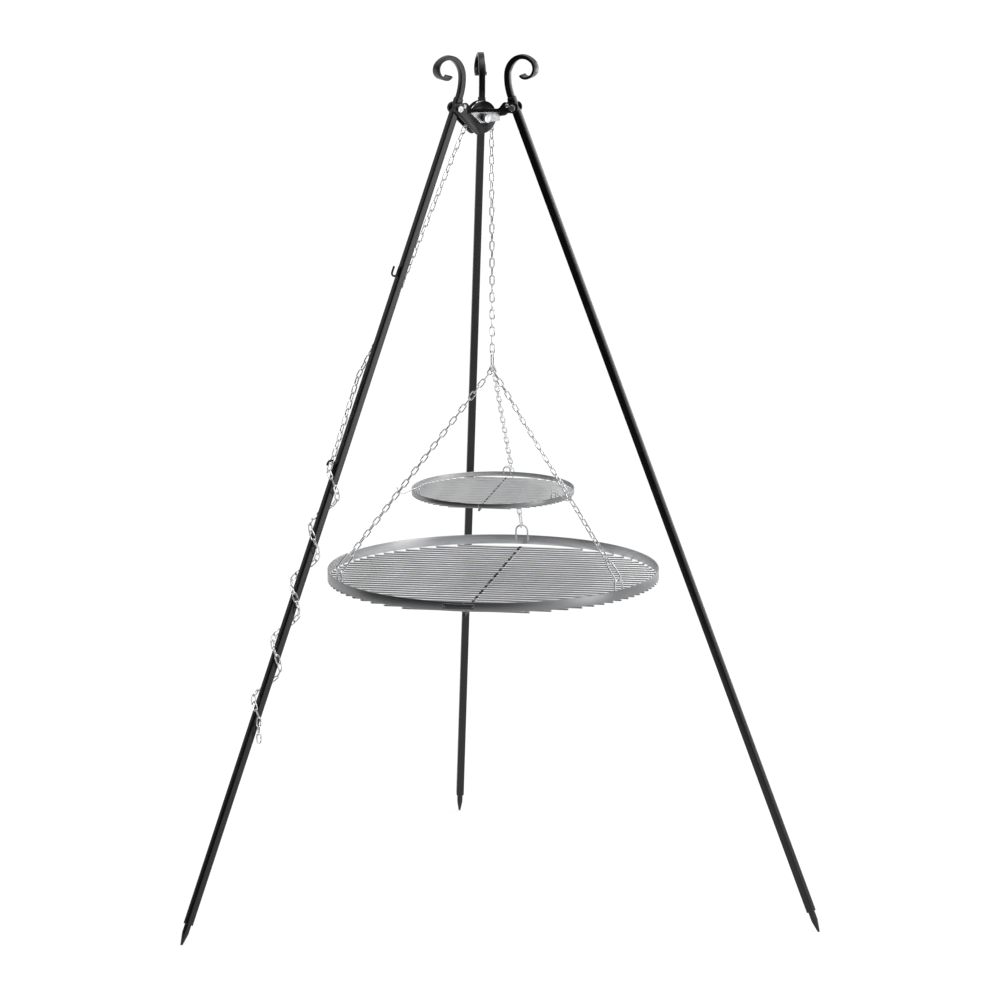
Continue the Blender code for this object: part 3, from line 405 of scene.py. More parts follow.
@dataclass
class Solid:
    """Points, faces and grain vectors of a piece while it is built."""

    points: list[Vector] = field(default_factory=list)
    grain: list[Vector] = field(default_factory=list)
    faces: list[tuple[int, ...]] = field(default_factory=list)

    def skin(
        self, rings: Sequence[Sequence[Vector]], grains: Sequence[Sequence[Vector]], closed: bool = False
    ) -> None:
        """Joins rings of equally many points with quads.

        Args:
            rings: The rings, in order.
            grains: The grain vector of every point.
            closed: Whether the last ring meets the first; otherwise both ends are capped.
        """
        count = len(rings[0])
        starts = []
        for ring, grain in zip(rings, grains):
            starts.append(len(self.points))
            self.points.extend(ring)
            self.grain.extend(grain)
        pairs = list(zip(starts, starts[1:]))
        if closed:
            pairs.append((starts[-1], starts[0]))
        else:
            self.faces.append(tuple(starts[0] + i for i in range(count)))
            self.faces.append(tuple(starts[-1] + i for i in reversed(range(count))))
        for low, high in pairs:
            for i in range(count):
                j = (i + 1) % count
                self.faces.append((low + i, low + j, high + j, high + i))

    def sweep(
        self,
        path: Sequence[Vector],
        radii: float | Sequence[float],
        sides: int = 10,
        closed: bool = False,
    ) -> None:
        """Adds a round bar along a path.

        Args:
            path: Points of its centre line.
            radii: One radius, or one for each point.
            sides: Sides of its section.
            closed: Whether the path is a loop.
        """
        if isinstance(radii, float):
            radii = [radii] * len(path)
        last = len(path) - 1
        rings, grains = [], []
        across = None
        travelled = 0.0
        for i, point in enumerate(path):
            before = path[i - 1] if i or closed else point
            after = path[(i + 1) % len(path)] if i < last or closed else point
            tangent = (after - before).normalized()
            across = tangent.orthogonal() if across is None else across - tangent * across.dot(tangent)
            across.normalize()
            up = tangent.cross(across)
            travelled += (point - path[i - 1]).length if i else 0.0
            turns = [math.tau * k / sides for k in range(sides)]
            flat = [(radii[i] * math.cos(a), radii[i] * math.sin(a)) for a in turns]
            rings.append([point + across * x + up * y for x, y in flat])
            grains.append([Vector((x, y, travelled)) for x, y in flat])
        self.skin(rings, grains, closed)

    def rod(self, path: Sequence[Vector], radius: float, sides: int = 10) -> None:
        """Adds a round bar with domed ends.

        Args:
            path: Points of its centre line.
            radius: Its radius.
            sides: Sides of its section.
        """
        dome = [math.radians(angle) for angle in (72, 45, 20)]
        first = (path[0] - path[1]).normalized() * radius
        last = (path[-1] - path[-2]).normalized() * radius
        start, end = path[0] - first, path[-1] - last
        whole = [start + first * math.sin(a) for a in dome] + [start, *path[1:-1], end]
        whole += [end + last * math.sin(a) for a in reversed(dome)]
        ends = [radius * math.cos(a) for a in dome]
        self.sweep(whole, ends + [radius] * len(path) + ends[::-1], sides)

    def weld(
        self, path: Sequence[Vector], radius: float, closed: bool = False, pitch: float = 2.2 * MM
    ) -> None:
        """Adds a weld bead whose ripples lie a pitch apart.

        Args:
            path: Points of the seam.
            radius: Mean radius of the bead.
            closed: Whether the seam goes all the way round.
            pitch: Distance between ripples.
        """
        spots = even_points(path, pitch / 4, closed)
        radii = []
        for i, point in enumerate(spots):
            uneven = 0.16 * noise.noise(point * (1 / (3 * MM)))
            radii.append(radius * (1 + 0.14 * math.sin(math.tau * i / 4 + 0.7) + uneven))
        self.sweep(spots, radii, 8, closed)

    def revolve(self, profile: Profile, frame: Matrix, steps: int) -> None:
        """Turns a closed profile about the frame's Z.

        Args:
            profile: Distance from the axis and height of each point.
            frame: The frame of the axis.
            steps: Steps of the turn.
        """
        rings, grains = [], []
        for i in range(steps):
            angle = math.tau * i / steps
            turn = Vector((math.cos(angle), math.sin(angle), 0))
            rings.append([frame @ (turn * r + Vector((0, 0, z))) for r, z in profile])
            grains.append([Vector((r, z, profile[0][0] * angle)) for r, z in profile])
        self.skin(rings, grains, closed=True)

    def dome(self, profile: Profile, frame: Matrix, steps: int) -> None:
        """Adds rings of a turned solid whose first and last rings are capped.

        Args:
            profile: Radius and height of each ring, from the bottom to the top.
            frame: The frame of the axis.
            steps: Points of each ring.
        """
        self.stack([(round_outline(r, steps), z) for r, z in profile], frame)

    def stack(self, levels: Sequence[tuple[Sequence[Vector], float]], frame: Matrix) -> None:
        """Adds a solid skinned over flat outlines at several heights.

        Args:
            levels: Outlines of equally many points, each with its height.
            frame: The frame of the outlines.
        """
        local = [[Vector((p.x, p.y, z)) for p in outline] for outline, z in levels]
        self.skin([[frame @ p for p in ring] for ring in local], local)

    def copies(self, other: Solid, matrices: Iterable[Matrix]) -> None:
        """Adds moved copies of another solid.

        Args:
            other: What is copied.
            matrices: One matrix for each copy.
        """
        for matrix in matrices:
            start = len(self.points)
            shift = Vector((0, 0, start * 0.37 * MM))
            self.points.extend(matrix @ p for p in other.points)
            self.grain.extend(g + shift for g in other.grain)
            self.faces.extend(tuple(start + i for i in face) for face in other.faces)

    def bevelled(self, node: bpy.types.Object, width: float, grain_frame: Matrix) -> None:
        """Takes in a node of the model with its sharp edges rounded.

        Args:
            node: The node's object.
            width: Width of the rounding.
            grain_frame: Frame whose Z the grain follows.
        """
        shape = bmesh.new()
        shape.from_mesh(node.data)
        bmesh.ops.remove_doubles(shape, verts=shape.verts, dist=0.002 * MM)
        bmesh.ops.dissolve_limit(
            shape, angle_limit=math.radians(0.5), verts=shape.verts, edges=shape.edges
        )
        sharp = [e for e in shape.edges if len(e.link_faces) == 2 and e.calc_face_angle() > math.radians(50)]
        bmesh.ops.bevel(
            shape, geom=sharp, offset=width, offset_type="OFFSET", segments=2, profile=0.5,
            affect="EDGES", clamp_overlap=True,
        )
        inverse = grain_frame.inverted()
        self.points.extend(v.co.copy() for v in shape.verts)
        self.grain.extend(inverse @ v.co for v in shape.verts)
        self.faces.extend(tuple(v.index for v in face.verts) for face in shape.faces)
        shape.free()

    def mesh(self, name: str) -> bpy.types.Mesh:
        """Makes a mesh that carries the grain vectors.

        Args:
            name: Its name.

        Returns:
            The mesh, with its faces pointing out.
        """
        mesh = bpy.data.meshes.new(name)
        mesh.from_pydata([tuple(p) for p in self.points], [], self.faces)
        shape = bmesh.new()
        shape.from_mesh(mesh)
        bmesh.ops.recalc_face_normals(shape, faces=shape.faces)
        shape.to_mesh(mesh)
        shape.free()
        attribute = mesh.attributes.new(GRAIN, "FLOAT_VECTOR", "POINT")
        attribute.data.foreach_set("vector", np.array(self.grain, np.float32).ravel())
        return mesh


def round_outline(radius: float, steps: int) -> list[Vector]:
    """Points of a circle about the origin."""
    angles = [math.tau * i / steps for i in range(steps)]
    return [Vector((math.cos(a), math.sin(a), 0)) * radius for a in angles]


def rounded_box(width: float, depth: float, corner: float, steps: int = 4) -> list[Vector]:
    """Points of a rectangle with rounded corners, about the origin.

    Args:
        width: Its size along X.
        depth: Its size along Y.
        corner: Radius of its corners.
        steps: Steps of each corner.

    Returns:
        The points, counter-clockwise.
    """
    points = []
    for quarter, (x, y) in enumerate(((1, 1), (-1, 1), (-1, -1), (1, -1))):
        centre = Vector((x * (width / 2 - corner), y * (depth / 2 - corner), 0))
        for i in range(steps + 1):
            angle = math.pi / 2 * (quarter + i / steps)
            points.append(centre + Vector((math.cos(angle), math.sin(angle), 0)) * corner)
    return points


def hexagon(flats: float, round_radius: float, steps: int = 8) -> list[Vector]:
    """Points of a hexagon cut by a circle, as a chamfer cuts a bolt head.

    Args:
        flats: Its size across flats.
        round_radius: Radius of the circle.
        steps: Points along each side.

    Returns:
        The points, counter-clockwise.
    """
    points = []
    for i in range(6 * steps):
        angle = math.tau * i / (6 * steps)
        within = (angle + math.pi / 6) % (math.pi / 3) - math.pi / 6
        reach = min(flats / 2 / math.cos(within), round_radius)
        points.append(Vector((math.cos(angle), math.sin(angle), 0)) * reach)
    return points


def arc(
    centre: tuple[float, float], radius: float, start: float, end: float, steps: int
) -> list[tuple[float, float]]:
    """Points of an arc in a plane.

    Args:
        centre: Its centre.
        radius: Its radius.
        start: Its first angle in degrees.
        end: Its last angle in degrees.
        steps: How many steps it takes.

    Returns:
        The points.
    """
    angles = [math.radians(start + (end - start) * i / steps) for i in range(steps + 1)]
    return [(centre[0] + radius * math.cos(a), centre[1] + radius * math.sin(a)) for a in angles]


def smooth_path(points: Sequence[Vector], steps: int = 6) -> list[Vector]:
    """A smooth curve through the points.

    Args:
        points: What it passes through.
        steps: How many steps it takes between two of them.

    Returns:
        Points along the curve.
    """
    ends = [points[0] * 2 - points[1], *points, points[-1] * 2 - points[-2]]
    path = []
    for a, b, c, d in zip(ends, ends[1:], ends[2:], ends[3:]):
        for i in range(steps):
            t = i / steps
            path.append(
                b + (c - a) * (t / 2) + (a * 2 - b * 5 + c * 4 - d) * (t**2 / 2)
                + (b * 3 - a - c * 3 + d) * (t**3 / 2)
            )
    return [*path, points[-1]]


def even_points(path: Sequence[Vector], step: float, closed: bool) -> list[Vector]:
    """Points a step apart along a path.

    Args:
        path: The path's corners.
        step: Distance between two points.
        closed: Whether the path is a loop.

    Returns:
        The points.
    """
    corners = [*path, path[0]] if closed else list(path)
    points = []
    for a, b in zip(corners, corners[1:]):
        count = max(1, round((b - a).length / step))
        points += [a.lerp(b, i / count) for i in range(count)]
    return points if closed else [*points, corners[-1]]


def axis_frame(place: Vector, axis: Vector) -> Matrix:
    """A frame at this place whose Z runs along the axis."""
    return Matrix.Translation(place) @ axis.to_track_quat("Z", "Y").to_matrix().to_4x4()


def eased(value: float, limits: tuple[float, float]) -> float:
    """How far a value is between two limits, from zero to one, with a soft start and end."""
    low, high = limits
    share = min(1.0, max(0.0, (value - low) / (high - low)))
    return share * share * (3 - 2 * share)


def radial(azimuth: float) -> Vector:
    """Horizontal unit vector that points out at this azimuth in degrees."""
    angle = math.radians(azimuth)
    return Vector((math.cos(angle), math.sin(angle), 0))


@dataclass(frozen=True)
class Layout:
    """Where the tripod's axis, legs, wheel and hanging parts lie, from the model's joints."""

    joints: dict[str, dict]
    nodes: dict[str, bpy.types.Object]
    pivot_radius: float = 72 * MM
    leg_length: float = 1842 * MM
    wheel_offset: float = 8.5 * MM
    wheel_chain_radius: float = 27.5 * MM

    @property
    def axis(self) -> Vector:
        """Where the tripod's axis meets the ground."""
        pivot = Vector(self.joints["leg_back_fold"]["pos_m"])
        return Vector((pivot.x, pivot.y - self.pivot_radius, 0))

    def pivot_height(self, side: Side) -> float:
        """Height of a leg's pivot."""
        return self.joints[f"leg_{side.word}_fold"]["pos_m"][2]

    def leg_angle(self, side: Side) -> float:
        """Angle between a leg and the vertical."""
        return math.acos(self.pivot_height(side) / self.leg_length)

    @property
    def wheel_height(self) -> float:
        """Height of the wheel's axle."""
        return self.joints["wheel_spin"]["pos_m"][2]

    @property
    def chain_axis(self) -> Vector:
        """Where the hanging chain's line meets the ground."""
        return self.axis - radial(Side.LEFT.value) * (self.wheel_chain_radius - self.wheel_offset)

    def upright(self, azimuth: float) -> Matrix:
        """Frame on the tripod's axis at ground level, with X out at the azimuth and Z up."""
        return Matrix.Translation(self.axis) @ Matrix.Rotation(math.radians(azimuth), 4, "Z")

    def leg(self, side: Side) -> Matrix:
        """Frame in a leg's pivot, with X out of its outer face and Z up the leg."""
        pivot = Matrix.Translation((self.pivot_radius, 0, self.pivot_height(side)))
        return self.upright(side.value) @ pivot @ Matrix.Rotation(-self.leg_angle(side), 4, "Y")

    def extent(self, node: str, frame: Matrix) -> tuple[float, float]:
        """Lowest and highest place of a node's points along a frame's Z.

        Args:
            node: The node's name.
            frame: The frame.

        Returns:
            The two places.
        """
        inverse = frame.inverted()
        places = [(inverse @ v.co).z for v in self.nodes[node].data.vertices]
        return min(places), max(places)


@dataclass
class Workshop:
    """Turns finished solids into painted pieces that ride on the model's bodies."""

    materials: dict[str, bpy.types.Material] = field(default_factory=dict)

    def material(self, finish: Finish) -> bpy.types.Material:
        """The finish's material, built once."""
        if finish.name not in self.materials:
            self.materials[finish.name] = finish.build()
        return self.materials[finish.name]

    def make(
        self, name: str, solid: Solid, finish: Finish, smooth: float = 40
    ) -> bpy.types.Object:
        """Makes a mesh object with its finish.

        Args:
            name: The piece's name.
            solid: Its shape.
            finish: Its finish.
            smooth: Angle in degrees above which an edge stays sharp.

        Returns:
            The object, riding on nothing yet.
        """
        mesh = solid.mesh(name)
        mesh.shade_smooth()
        mesh.set_sharp_from_angle(angle=math.radians(smooth))
        mesh.materials.append(self.material(finish))
        obj = bpy.data.objects.new(name, mesh)
        bpy.context.scene.collection.objects.link(obj)
        LOG.info("%s: %d faces of %s", name, len(mesh.polygons), finish.name)
        return obj

    def piece(
        self,
        name: str,
        solid: Solid,
        finish: Finish,
        body: str,
        nodes: Sequence[str] = (),
        smooth: float = 40,
    ) -> bpy.types.Object:
        """Makes a piece that rides on one body.

        Args:
            name: The piece's name.
            solid: Its shape.
            finish: Its finish.
            body: The body that carries it.
            nodes: The model's nodes that it stands for.
            smooth: Angle in degrees above which an edge stays sharp.

        Returns:
            The piece.
        """
        obj = self.make(name, solid, finish, smooth)
        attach(obj, body)
        if nodes:
            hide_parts(*nodes)
        return obj


PAINT = BlackPaint()
FORGED = BlackPaint(
    "black_forged", roughness=0.3, dent=9 * MM, dent_depth=0.3 * MM, streak=(2.2 * MM, 2.2 * MM, 60 * MM)
)
ZINC = Plating(
    "zinc_bolts", "zinc_hardware", bright=(0.6, 0.605, 0.61), dull=(0.42, 0.425, 0.435), roughness=0.32,
)
ZINC_SHEET = Plating(
    "zinc_sheet", "zinc_hardware", bright=(0.6, 0.605, 0.61), dull=(0.48, 0.485, 0.495), roughness=0.42,
    crystal=6 * MM, streak=(30 * MM, 0.6 * MM, 0.6 * MM),
)
CHAIN_ZINC = Plating(
    "chain_zinc", "galvanised_chain", bright=(0.8, 0.805, 0.81), dull=(0.52, 0.525, 0.535), roughness=0.18,
)
# The rods carry painted shade on their undersides.
ROD_STEEL = DrawnSteel("rod_steel", bright=(0.95, 0.955, 0.96), dark=(0.7, 0.705, 0.715), soot=0.88)
WIRE_STEEL = DrawnSteel("wire_steel", bright=(0.66, 0.665, 0.67), dark=(0.42, 0.425, 0.435))
PLATE_STEEL = DrawnSteel("plate_steel", bright=(0.13, 0.13, 0.133), dark=(0.09, 0.09, 0.092), roughness=0.36)
BORDER_STEEL = DrawnSteel(
    "border_steel", bright=(0.4, 0.402, 0.405), dark=(0.28, 0.282, 0.286), roughness=0.4
)
# The strut and its weld collars are near black, as painted shade under the rods.
SHADED_STRUT_STEEL = DrawnSteel("strut_steel", bright=(0.1, 0.1, 0.102), dark=(0.045, 0.045, 0.046), roughness=0.4)
# The rim's outer face carries painted shade, weighted by scale.
RIM_STEEL = DrawnSteel(
    "rim_steel", bright=(0.54, 0.545, 0.555), dark=(0.36, 0.365, 0.375), line=(0.4 * MM, 0.6 * MM, 140 * MM),
    patch=(60 * MM, 60 * MM, 160 * MM), roughness=0.28, scale=0.85,
)


@dataclass
class Leg:
    """One leg: a square tube with rounded corners, a pointed foot and a forged scroll."""

    side: Side
    layout: Layout
    above_pivot: float = 21 * MM
    tube: float = 16 * MM
    corner: float = 2.2 * MM
    tube_wall: float = 2 * MM
    spike_straight: float = 20 * MM
    spike_taper: float = 25 * MM
    spike_tip: float = 4 * MM
    scroll_foot: tuple[float, float] = (13 * MM, 12.4 * MM)
    scroll_curl: tuple[float, float] = (25 * MM, 5.6 * MM)
    scroll_radii: tuple[float, ...] = (115 * MM, 46 * MM, 30 * MM, 33 * MM, 20 * MM, 21 * MM, 12 * MM)
    scroll_sweeps: tuple[float, ...] = (24.35, 50, 38, 40, 50, 90, 60)
    scroll_step: float = 3.4
    scroll_shy: float = 0.1 * MM
    scroll_widens: tuple[float, float] = (0.58, 0.84)
    scroll_thins: tuple[float, float] = (0.35, 0.8)
    gap: float = 0.3 * MM

    def build(self, shop: Workshop) -> None:
        """Makes the leg's pieces.

        Args:
            shop: Where they are made.
        """
        frame, word = self.layout.leg(self.side), self.side.word
        body = f"{word}_leg"
        low = -self.layout.leg_length + self.spike_straight + self.spike_taper
        ease = 0.5 * MM
        outer = rounded_box(self.tube, self.tube, self.corner)
        inner = rounded_box(self.tube - 2 * ease, self.tube - 2 * ease, self.corner - ease / 2)
        tube = Solid()
        high = self.above_pivot
        tube.stack([(inner, low), (outer, low + ease), (outer, high - ease), (inner, high)], frame)
        shop.piece(f"tube_{word}", tube, PAINT, body, [f"leg_tube_{word}"])
        shop.piece(f"spike_{word}", self.spike(frame, low), PAINT, body, [f"foot_spike_{word}"])
        shop.piece(f"forged_scroll_{word}", self.scroll(frame), FORGED, body, [f"scroll_{word}"])
        bead = Solid()
        seam = rounded_box(self.tube - 2.2 * MM, self.tube - 4 * MM, 2 * MM)
        bead.weld([frame @ Vector((p.x, p.y, high)) for p in seam], 1.4 * MM, closed=True)
        shop.piece(f"scroll_weld_{word}", bead, PAINT, body, smooth=60)

    def spike(self, frame: Matrix, tube_end: float) -> Solid:
        """The pointed foot, flat on the ground at its tip.

        Args:
            frame: The leg's frame.
            tube_end: Where the tube ends along the leg.

        Returns:
            Its shape.
        """
        width = self.tube - 2 * self.tube_wall - 2 * self.gap
        tip = -self.layout.leg_length
        shoulder = tip + self.spike_taper
        level = Matrix.Translation((0, 0, tip)) @ Matrix.Rotation(self.layout.leg_angle(self.side), 4, "Y")
        blunt = rounded_box(self.spike_tip, self.spike_tip, 1.2 * MM)
        rings = [[level @ p for p in blunt]]
        for share, corner in ((0.3, 1.4 * MM), (0.65, 1.7 * MM), (0.92, 2 * MM), (1.06, 2 * MM)):
            size = self.spike_tip + (width - self.spike_tip) * min(1.0, share * 0.98)
            outline = rounded_box(size, size, corner)
            rings.append([Vector((p.x, p.y, tip + (shoulder - tip) * share)) for p in outline])
        rings.append([Vector((p.x, p.y, tube_end + 4 * MM)) for p in rounded_box(width, width, 2 * MM)])
        solid = Solid()
        solid.skin([[frame @ p for p in ring] for ring in rings], rings)
        return solid

    def scroll(self, frame: Matrix) -> Solid:
        """The bar on the tube's end, drawn wider and thinner towards its rolled tip.

        Args:
            frame: The leg's frame.

        Returns:
            Its shape.
        """
        lengths = [r * math.radians(s) for r, s in zip(self.scroll_radii, self.scroll_sweeps)]
        whole = sum(lengths)
        lean = self.layout.leg_angle(self.side)
        upright = Matrix.Translation((0, 0, self.above_pivot + self.gap)) @ Matrix.Rotation(lean, 4, "Y")
        placed = frame @ upright
        heading, centre, travelled = -lean, Vector(), 0.0
        rings, grains = [], []
        for radius, sweep in zip((0.0, *self.scroll_radii), (0.0, *self.scroll_sweeps)):
            steps = max(1, round(sweep / self.scroll_step))
            for _ in range(steps):
                turn = math.radians(sweep) / steps
                after = heading + turn
                out, up = math.cos(heading) - math.cos(after), math.sin(after) - math.sin(heading)
                centre = centre + Vector((out, 0, up)) * radius
                heading = after
                travelled += radius * turn
                limits = (self.scroll_widens, self.scroll_thins)
                drawn = (eased(travelled / whole, limit) for limit in limits)
                sizes = zip(self.scroll_foot, self.scroll_curl, drawn)
                width, depth = (foot + (curl - foot) * share for foot, curl, share in sizes)
                across = Vector((math.cos(heading), 0, -math.sin(heading)))
                hammered = 1 + 0.02 * noise.noise(Vector((travelled / (11 * MM), self.side.value, 0)))
                outline = rounded_box(depth - self.scroll_shy, width * hammered, 1.5 * MM)
                rings.append([placed @ (centre + across * p.x + Vector((0, p.y, 0))) for p in outline])
                grains.append([Vector((p.x, p.y, travelled)) for p in outline])
        solid = Solid()
        solid.skin(rings, grains)
        return solid


@dataclass
class HexBolt:
    """A hexagon bolt with its nut: chamfered head, threaded tail."""

    name: str
    nut: str
    layout: Layout
    flats: float
    head: float
    diameter: float
    pitch: float
    washer: float = 0.5 * MM

    def build(self, shop: Workshop, place: Vector, axis: Vector) -> None:
        """Makes bolt and nut where the model has them.

        Args:
            shop: Where they are made.
            place: A point on the axis.
            axis: Its direction, either way.
        """
        frame = axis_frame(place, axis)
        if sum(self.layout.extent(self.nut, frame)) < sum(self.layout.extent(self.name, frame)):
            frame = axis_frame(place, -axis)
        low, high = self.layout.extent(self.name, frame)
        nut_low, nut_high = self.layout.extent(self.nut, frame)
        bolt = Solid()
        self.hexagon_block(bolt, frame, low + self.head, low, self.washer)
        radius = self.diameter / 2
        shank = [(radius, low + self.head - 0.1 * MM), (radius, nut_low)]
        depth = self.pitch * 0.42
        count = math.floor((high - nut_high) / self.pitch * 2)
        for i in range(count):
            shank.append((radius - depth * (i % 2), nut_high + i * self.pitch / 2))
        shank += [(radius - depth, high - 0.4 * MM), (radius - depth - 0.4 * MM, high)]
        bolt.dome(shank, frame, 24)
        shop.piece(f"{self.name}_hex", bolt, ZINC, "head", [self.name], smooth=28)
        nut = Solid()
        middle = (nut_low + nut_high) / 2
        self.hexagon_block(nut, frame, middle, nut_low, 0)
        self.hexagon_block(nut, frame, middle, nut_high, 0)
        shop.piece(f"{self.nut}_hex", nut, ZINC, "head", [self.nut], smooth=28)

    def hexagon_block(self, solid: Solid, frame: Matrix, inner: float, outer: float, washer: float) -> None:
        """Adds a hexagon prism with a chamfered outer face.

        Args:
            solid: Where it is added.
            frame: The frame whose Z is its axis.
            inner: Place of its plain face.
            outer: Place of its chamfered face.
            washer: Height of the round face under a bolt's head.
        """
        way = math.copysign(1, outer - inner)
        corner = self.flats / math.sqrt(3)
        levels = []
        if washer:
            levels.append((hexagon(self.flats, self.flats * 0.49), inner))
            levels.append((hexagon(self.flats, self.flats * 0.49), inner + way * washer))
        cuts = ((corner, 1.15 * MM), (corner * 0.955, 0.45 * MM), (self.flats * 0.485, 0.0))
        levels.append((hexagon(self.flats, corner), inner + way * washer))
        levels += [(hexagon(self.flats, reach), outer - way * back) for reach, back in cuts]
        levels.append((hexagon(self.flats, self.flats * 0.45), outer))
        solid.stack(levels, frame)


M8 = {"flats": 13 * MM, "head": 5.3 * MM, "diameter": 8 * MM, "pitch": 1.25 * MM}
M10 = {"flats": 17 * MM, "head": 6.4 * MM, "diameter": 10 * MM, "pitch": 1.5 * MM}


@dataclass
class Head:
    """The bolted head: bent straps, wheel plates, braces and their fasteners."""

    layout: Layout
    edge: float = 0.55 * MM
    pin_head: tuple[float, float] = (9 * MM, 2 * MM)
    pin: float = 5 * MM
    spacer: tuple[float, float] = (8.4 * MM, 5.3 * MM)

    def build(self, shop: Workshop) -> None:
        """Makes the head's pieces.

        Args:
            shop: Where they are made.
        """
        flat = {"front_strap": Side.LEFT, "rear_left_strap": Side.BACK, "rear_right_strap": Side.RIGHT}
        flat |= {f"{kind}_{end}": Side.LEFT for kind in ("brace", "pulley_plate") for end in ("near", "far")}
        for node, side in flat.items():
            solid = Solid()
            solid.bevelled(self.layout.nodes[node], self.edge, self.layout.upright(side.value))
            finish = ZINC_SHEET if node.startswith("pulley") else PAINT
            shop.piece(f"{node}_eased", solid, finish, "head", [node], smooth=35)
        for side in Side:
            joint = self.layout.joints[f"leg_{side.word}_fold"]
            word = side.word
            bolt = HexBolt(f"pivot_bolt_{word}", f"pivot_nut_{word}", self.layout, **M8)
            bolt.build(shop, Vector(joint["pos_m"]), Vector(joint["axis"]))
            self.stop_pin(shop, side)
        spin = self.layout.joints["wheel_spin"]
        place, axis = Vector(spin["pos_m"]), Vector(spin["axis"])
        axle = HexBolt("axle_bolt", "axle_nut", self.layout, **M10)
        axle.build(shop, place, axis)
        frame = axis_frame(place, axis)
        low, high = self.layout.extent("axle_spacer", frame)
        outside, bore = self.spacer
        ease = 0.7 * MM
        rim = [(outside - ease, low), (outside, low + ease), (outside, high - ease), (outside - ease, high)]
        tube = Solid()
        tube.revolve([(bore, low), *rim, (bore, high)], frame, 40)
        shop.piece("spacer_tube", tube, PAINT, "head", ["axle_spacer"])

    def stop_pin(self, shop: Workshop, side: Side) -> None:
        """Makes the riveted pin that a spread leg rests on.

        Args:
            shop: Where it is made.
            side: The leg.
        """
        name = f"stop_pin_{side.word}"
        low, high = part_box(name)
        frame = axis_frame((low + high) / 2, Vector(self.layout.joints[f"leg_{side.word}_fold"]["axis"]))
        start, end = self.layout.extent(name, frame)
        radius, height = self.pin_head[0] / 2, self.pin_head[1]
        tail = radius * 0.62
        wide = self.head_end(name, frame)
        if wide > 0:
            frame = frame @ Matrix.Rotation(math.pi, 4, "X")
            start, end = -end, -start
        rounds = (0.25, 0.7, 1.1, math.pi / 2)
        domed = [(radius * math.sin(a), start + height * (1 - math.cos(a))) for a in rounds]
        shank = [(self.pin / 2, start + height), (self.pin / 2, end - 0.8 * MM)]
        shank += [(tail, end - 0.3 * MM), (tail * 0.7, end)]
        solid = Solid()
        solid.dome([*domed, *shank], frame, 24)
        shop.piece(f"{name}_rivet", solid, ZINC, "head", [name])

    def head_end(self, node: str, frame: Matrix) -> float:
        """Says at which end of a pin its head is.

        Args:
            node: The pin's node.
            frame: A frame along the pin, in its middle.

        Returns:
            A number below zero if the head is at the low end, and above zero otherwise.
        """
        inverse = frame.inverted()
        local = [inverse @ v.co for v in self.layout.nodes[node].data.vertices]
        widest = max(p.xy.length for p in local)
        return sum(p.z for p in local if p.xy.length > widest - 0.2 * MM)


@dataclass
class ChainWheel:
    """The turned wheel that the hoist chain runs over."""

    layout: Layout
    radius: float = 34.6 * MM
    width: float = 15.8 * MM
    flange: float = 1.3 * MM
    bore: float = 5.3 * MM
    bottom: float = 21.12 * MM
    hub: float = 11 * MM
    tread: float = 3 * MM
    relief: float = 1.5 * MM

    def build(self, shop: Workshop) -> None:
        """Makes the wheel.

        Args:
            shop: Where it is made.
        """
        spin = self.layout.joints["wheel_spin"]
        frame = axis_frame(Vector(spin["pos_m"]), Vector(spin["axis"]))
        half, ease = self.width / 2, 0.5 * MM
        groove, inset = half - self.flange, self.relief
        side = [(self.bore, half - ease), (self.bore + ease, half), (self.hub, half)]
        side += [(self.hub + inset, half - inset), (self.bottom - self.tread, half - inset)]
        side += [(self.bottom - self.tread + inset, half)]
        side += [(self.radius - ease, half), (self.radius, half - ease)]
        side += [(self.radius - 0.3 * MM, groove), (self.bottom + 3 * MM, groove - 0.4 * MM)]
        side += arc((self.bottom + 3 * MM, groove - 3.4 * MM), 3 * MM, 90, 180, 5)
        wheel = Solid()
        wheel.revolve([*side, *((r, -z) for r, z in reversed(side))], frame, 96)
        shop.piece("turned_wheel", wheel, PAINT, "wheel", ["pulley_wheel"], smooth=32)


@dataclass(frozen=True)
class Route:
    """A path of points, each with the direction that a flat link's face is turned to."""

    stations: tuple[tuple[Vector, Vector], ...]

    @property
    def length(self) -> float:
        """Length of the path."""
        return sum((b[0] - a[0]).length for a, b in zip(self.stations, self.stations[1:]))

    def at(self, distance: float) -> tuple[Vector, Vector]:
        """Place and side vector at a distance along the path.

        Args:
            distance: How far along; past the end, the path runs on straight.

        Returns:
            The place and the side vector.
        """
        final = self.stations[-1]
        for (a, side_a), (b, side_b) in zip(self.stations, self.stations[1:]):
            step = (b - a).length
            if distance <= step or b is final[0]:
                share = distance / step
                return a.lerp(b, share), side_a.lerp(side_b, min(share, 1.0))
            distance -= step
        return final

    def moved(self, matrix: Matrix) -> Route:
        """The route with its points moved by a matrix, and its side vectors left alone."""
        return Route(tuple((matrix @ point, side) for point, side in self.stations))


